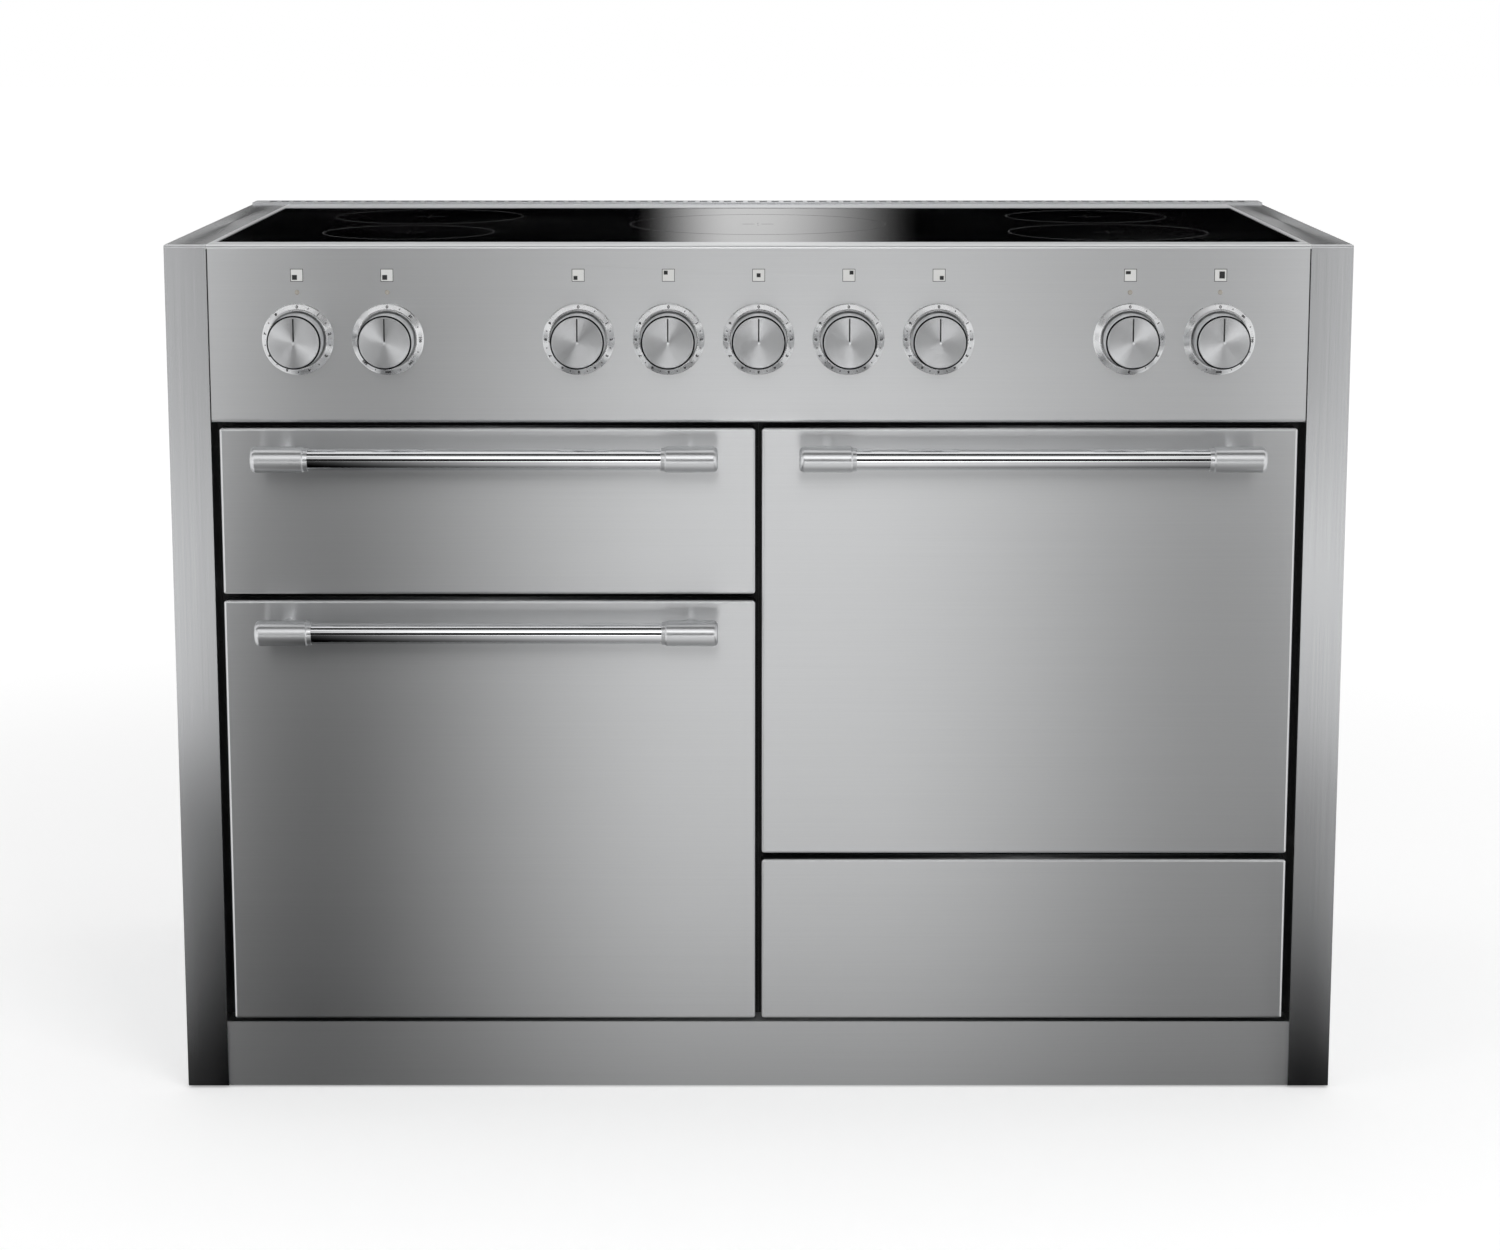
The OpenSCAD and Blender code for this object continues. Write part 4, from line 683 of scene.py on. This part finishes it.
# Neon lenses. Four small domes of pale, milky amber plastic over the oven and grill lamps, snapped
# into the panel below the signs.
amber_lens, tree = blank_material("moulded_amber_lens")
place = add_node(tree, "ShaderNodeTexCoord").outputs["Object"]
swirl = add_node(tree, "ShaderNodeTexNoise", {"Scale": 700.0, "Detail": 2.0}, {"Vector": place})
shade = add_node(tree, "ShaderNodeMix", {"data_type": "RGBA", 6: colour("#ABA59B"), 7: colour("#BDB7AD")},
                 {0: swirl.outputs[0]})
surface = add_node(tree, "ShaderNodeBsdfPrincipled", {"Roughness": 0.18, "IOR": 1.49, "Coat Weight": 0.4},
                   {"Base Color": shade.outputs[2]})
add_node(tree, "ShaderNodeOutputMaterial", {}, {"Surface": surface.outputs[0]})
finish(amber_lens, "neon_lenses")
finish(moulded_plastic("moulded_phenolic_switch_black", ("#141415", "#232325"), 0.5), "control_switches")


# Hob frame and rear vent. A stainless trim folded round the glass, and behind it the pressed
# outlet with its row of slots; both are ground along their length.
trim_steel = ground_steel("ground_stainless_hob_trim", "X", ("#C6C7C9", "#D2D3D5"), 0.30, 0.4)
finish(trim_steel, "hob_frame", "rear_vent")


# Hob glass. One sheet of black ceramic glass, 4 mm thick with a ground edge. Its surface is
# polished, with a faint texture of dots 1.5 mm apart.
hob_ceramic, tree = blank_material("black_ceramic_glass")
place = add_node(tree, "ShaderNodeTexCoord").outputs["Object"]
dots = add_node(tree, "ShaderNodeTexVoronoi", {"Scale": 650.0, "Randomness": 0.2}, {"Vector": place})
wave = add_node(tree, "ShaderNodeTexNoise", {"Scale": 5.0, "Detail": 1.0}, {"Vector": place})
dot = add_node(tree, "ShaderNodeMath", {"operation": "LESS_THAN", 1: 0.22}, {0: dots.outputs["Distance"]})
shade = add_node(tree, "ShaderNodeMix", {"data_type": "RGBA", 6: colour("#050506"), 7: colour("#0C0C0D")},
                 {0: dot.outputs[0]})
matt = add_node(tree, "ShaderNodeMapRange", {1: 0.3, 2: 0.7, 3: 0.05, 4: 0.08}, {0: wave.outputs[0]})
surface = add_node(tree, "ShaderNodeBsdfPrincipled", {"IOR": 1.52},
                   {"Base Color": shade.outputs[2], "Roughness": matt.outputs[0]})
add_node(tree, "ShaderNodeOutputMaterial", {}, {"Surface": surface.outputs[0]})
finish(hob_ceramic, "hob_glass")


# Cooking zones. Each is a ring of grey ink 1.5 mm wide fired into the glass, with a cross of four
# short strokes at its middle.
grey_ink = screen_print("grey_fired_ink_hob", ("#28282A", "#323234"), 0.16)
glass_low, glass_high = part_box("hob_glass")
inset, aside = 0.129, 0.374
near, middle, far = glass_low.y + inset, (glass_low.y + glass_high.y) / 2, glass_high.y - inset
ZONES = [(-aside, near, 0.090), (-aside, far, 0.105), (0.0, middle, 0.140), (aside, near, 0.105),
         (aside, far, 0.090)]
ring_width, ring_rise, upright = 0.0015, 0.0001, Matrix.Identity(3)
stroke_centre, stroke_half_long, stroke_half_wide = 0.0105, 0.006, 0.0006
zone_print = bmesh.new()
for x, y, radius in ZONES:
    centre = Vector((x, y, glass_high.z))
    add_turned(zone_print, centre, [(radius, 0), (radius, ring_rise), (radius + ring_width, ring_rise),
                                    (radius + ring_width, 0)], upright, steps=128)
    for dx, dy in ((1, 0), (-1, 0), (0, 1), (0, -1)):
        stroke = centre + Vector((dx, dy, 0)) * stroke_centre
        half = Vector((abs(dx) * stroke_half_long + stroke_half_wide,
                       abs(dy) * stroke_half_long + stroke_half_wide, 0))
        add_block(zone_print, stroke - half, stroke + half + Vector((0, 0, ring_rise)))
mesh_piece("cooking_zone_rings", zone_print, grey_ink, "cooker")


# Works under the glass. Flat coils wound from copper litz, sealed die-cast housings for their
# electronics, and a moulded cooling fan.
def grained_metal(name, tint, roughness, grain, detail, strength):
    """Metal with an uneven skin of its own, such as strands or the grain of a casting."""
    material, tree = blank_material(name)
    place = add_node(tree, "ShaderNodeTexCoord").outputs["Object"]
    skin = add_node(tree, "ShaderNodeTexNoise", {"Scale": grain, "Detail": detail}, {"Vector": place})
    shade = add_node(tree, "ShaderNodeMix", {"data_type": "RGBA", 6: colour(tint[0]), 7: colour(tint[1])},
                     {0: skin.outputs[0]})
    relief = add_node(tree, "ShaderNodeBump", {"Strength": strength, "Distance": 0.0004},
                      {"Height": skin.outputs[0]})
    surface = add_node(tree, "ShaderNodeBsdfPrincipled", {"Metallic": 1.0, "Roughness": roughness},
                       {"Base Color": shade.outputs[2], "Normal": relief.outputs[0]})
    add_node(tree, "ShaderNodeOutputMaterial", {}, {"Surface": surface.outputs[0]})
    return material


coil_litz = grained_metal("copper_litz_coils", ("#8A4B2A", "#B87449"), 0.42, 900.0, 2.0, 0.3)
finish(coil_litz, "induction_coils")
cast_aluminium = grained_metal("die_cast_aluminium_housings", ("#A4A6A8", "#BDBFC1"), 0.5, 250.0, 4.0, 0.15)
finish(cast_aluminium, "induction_housings")
finish(moulded_plastic("moulded_fan_plastic_black", ("#19191A", "#262627"), 0.42), "cooling_fan")
finish(mottled_metal("zinc_plated_motor_cases", ("#A2A5A7", "#B8BABC"), 0.36), "fan_motors")


# Ovens. Mild steel boxes in black fired enamel with fine pale flecks; the fan covers and the
# inner door panels match them.
oven_enamel = fired_enamel("flecked_oven_enamel", "#2B2C30", 0.22, "#6A6C72")
finish(oven_enamel, "left_oven_liner", "right_oven_liner", "left_door_inner", "right_door_inner",
       "grill_liner", "fan_covers")


# Door seals. Braided glass-fibre tubes in silicone, held in the liners' flanges.
seal_braid, tree = blank_material("braided_silicone_seal")
place = add_node(tree, "ShaderNodeTexCoord").outputs["Object"]
braid = add_node(tree, "ShaderNodeTexVoronoi", {"Scale": 500.0, "Randomness": 0.3}, {"Vector": place})
shade = add_node(tree, "ShaderNodeMix", {"data_type": "RGBA", 6: colour("#2E2E30"), 7: colour("#454548")},
                 {0: braid.outputs["Distance"]})
relief = add_node(tree, "ShaderNodeBump", {"Strength": 0.5, "Distance": 0.0006},
                  {"Height": braid.outputs["Distance"]})
surface = add_node(tree, "ShaderNodeBsdfPrincipled", {"Roughness": 0.75, "IOR": 1.43},
                   {"Base Color": shade.outputs[2], "Normal": relief.outputs[0]})
add_node(tree, "ShaderNodeOutputMaterial", {}, {"Surface": surface.outputs[0]})
finish(seal_braid, "oven_seals")


# Wire racks. Shelves, their side supports and the grill's trivet are welded wire with bright
# nickel-chrome plate.
rack_chrome = polished_metal("bright_chrome_wire", ("#D2D3D6", "#E2E3E5"), 0.12)
finish(rack_chrome, "oven_shelves", "shelf_supports", "grill_trivet")


# Elements and oven fans. Sheathed elements oxidise to a matt grey-brown; the fans are pressed from
# aluminised steel, which still shows its rolling lines.
finish(mottled_metal("oxidised_element_sheath", ("#4E4A47", "#6A645F"), 0.6), "heating_elements")
finish(ground_steel("pressed_aluminised_fans", "Y", ("#A9ACAE", "#BABCBE"), 0.38, 0.2, round_axis="Y"),
       "left_oven_fan", "right_oven_fan")


# Grill. Its pan is enamelled; the carriage that carries it runs on zinc-plated rails.
finish(fired_enamel("fired_enamel_grill_pan", "#0F0F11", 0.2, "#34353A"), "grill_pan")
runner_zinc = mottled_metal("bright_zinc_runners", ("#B4B7B9", "#C8CACC"), 0.26)
finish(runner_zinc, "grill_carriage", "grill_runner_middles", "runner_rails", "drawer_runner_middles")


# Drawer and hinges. The drawer and its housing are galvanised; the hinge knuckles and arms are
# zinc-plated spring steel.
finish(zinc_sheet, "drawer_housing", "drawer_box")
finish(mottled_metal("zinc_plated_hinges", ("#9EA1A3", "#B3B6B8"), 0.3),
       "left_door_hinges", "right_door_hinges")
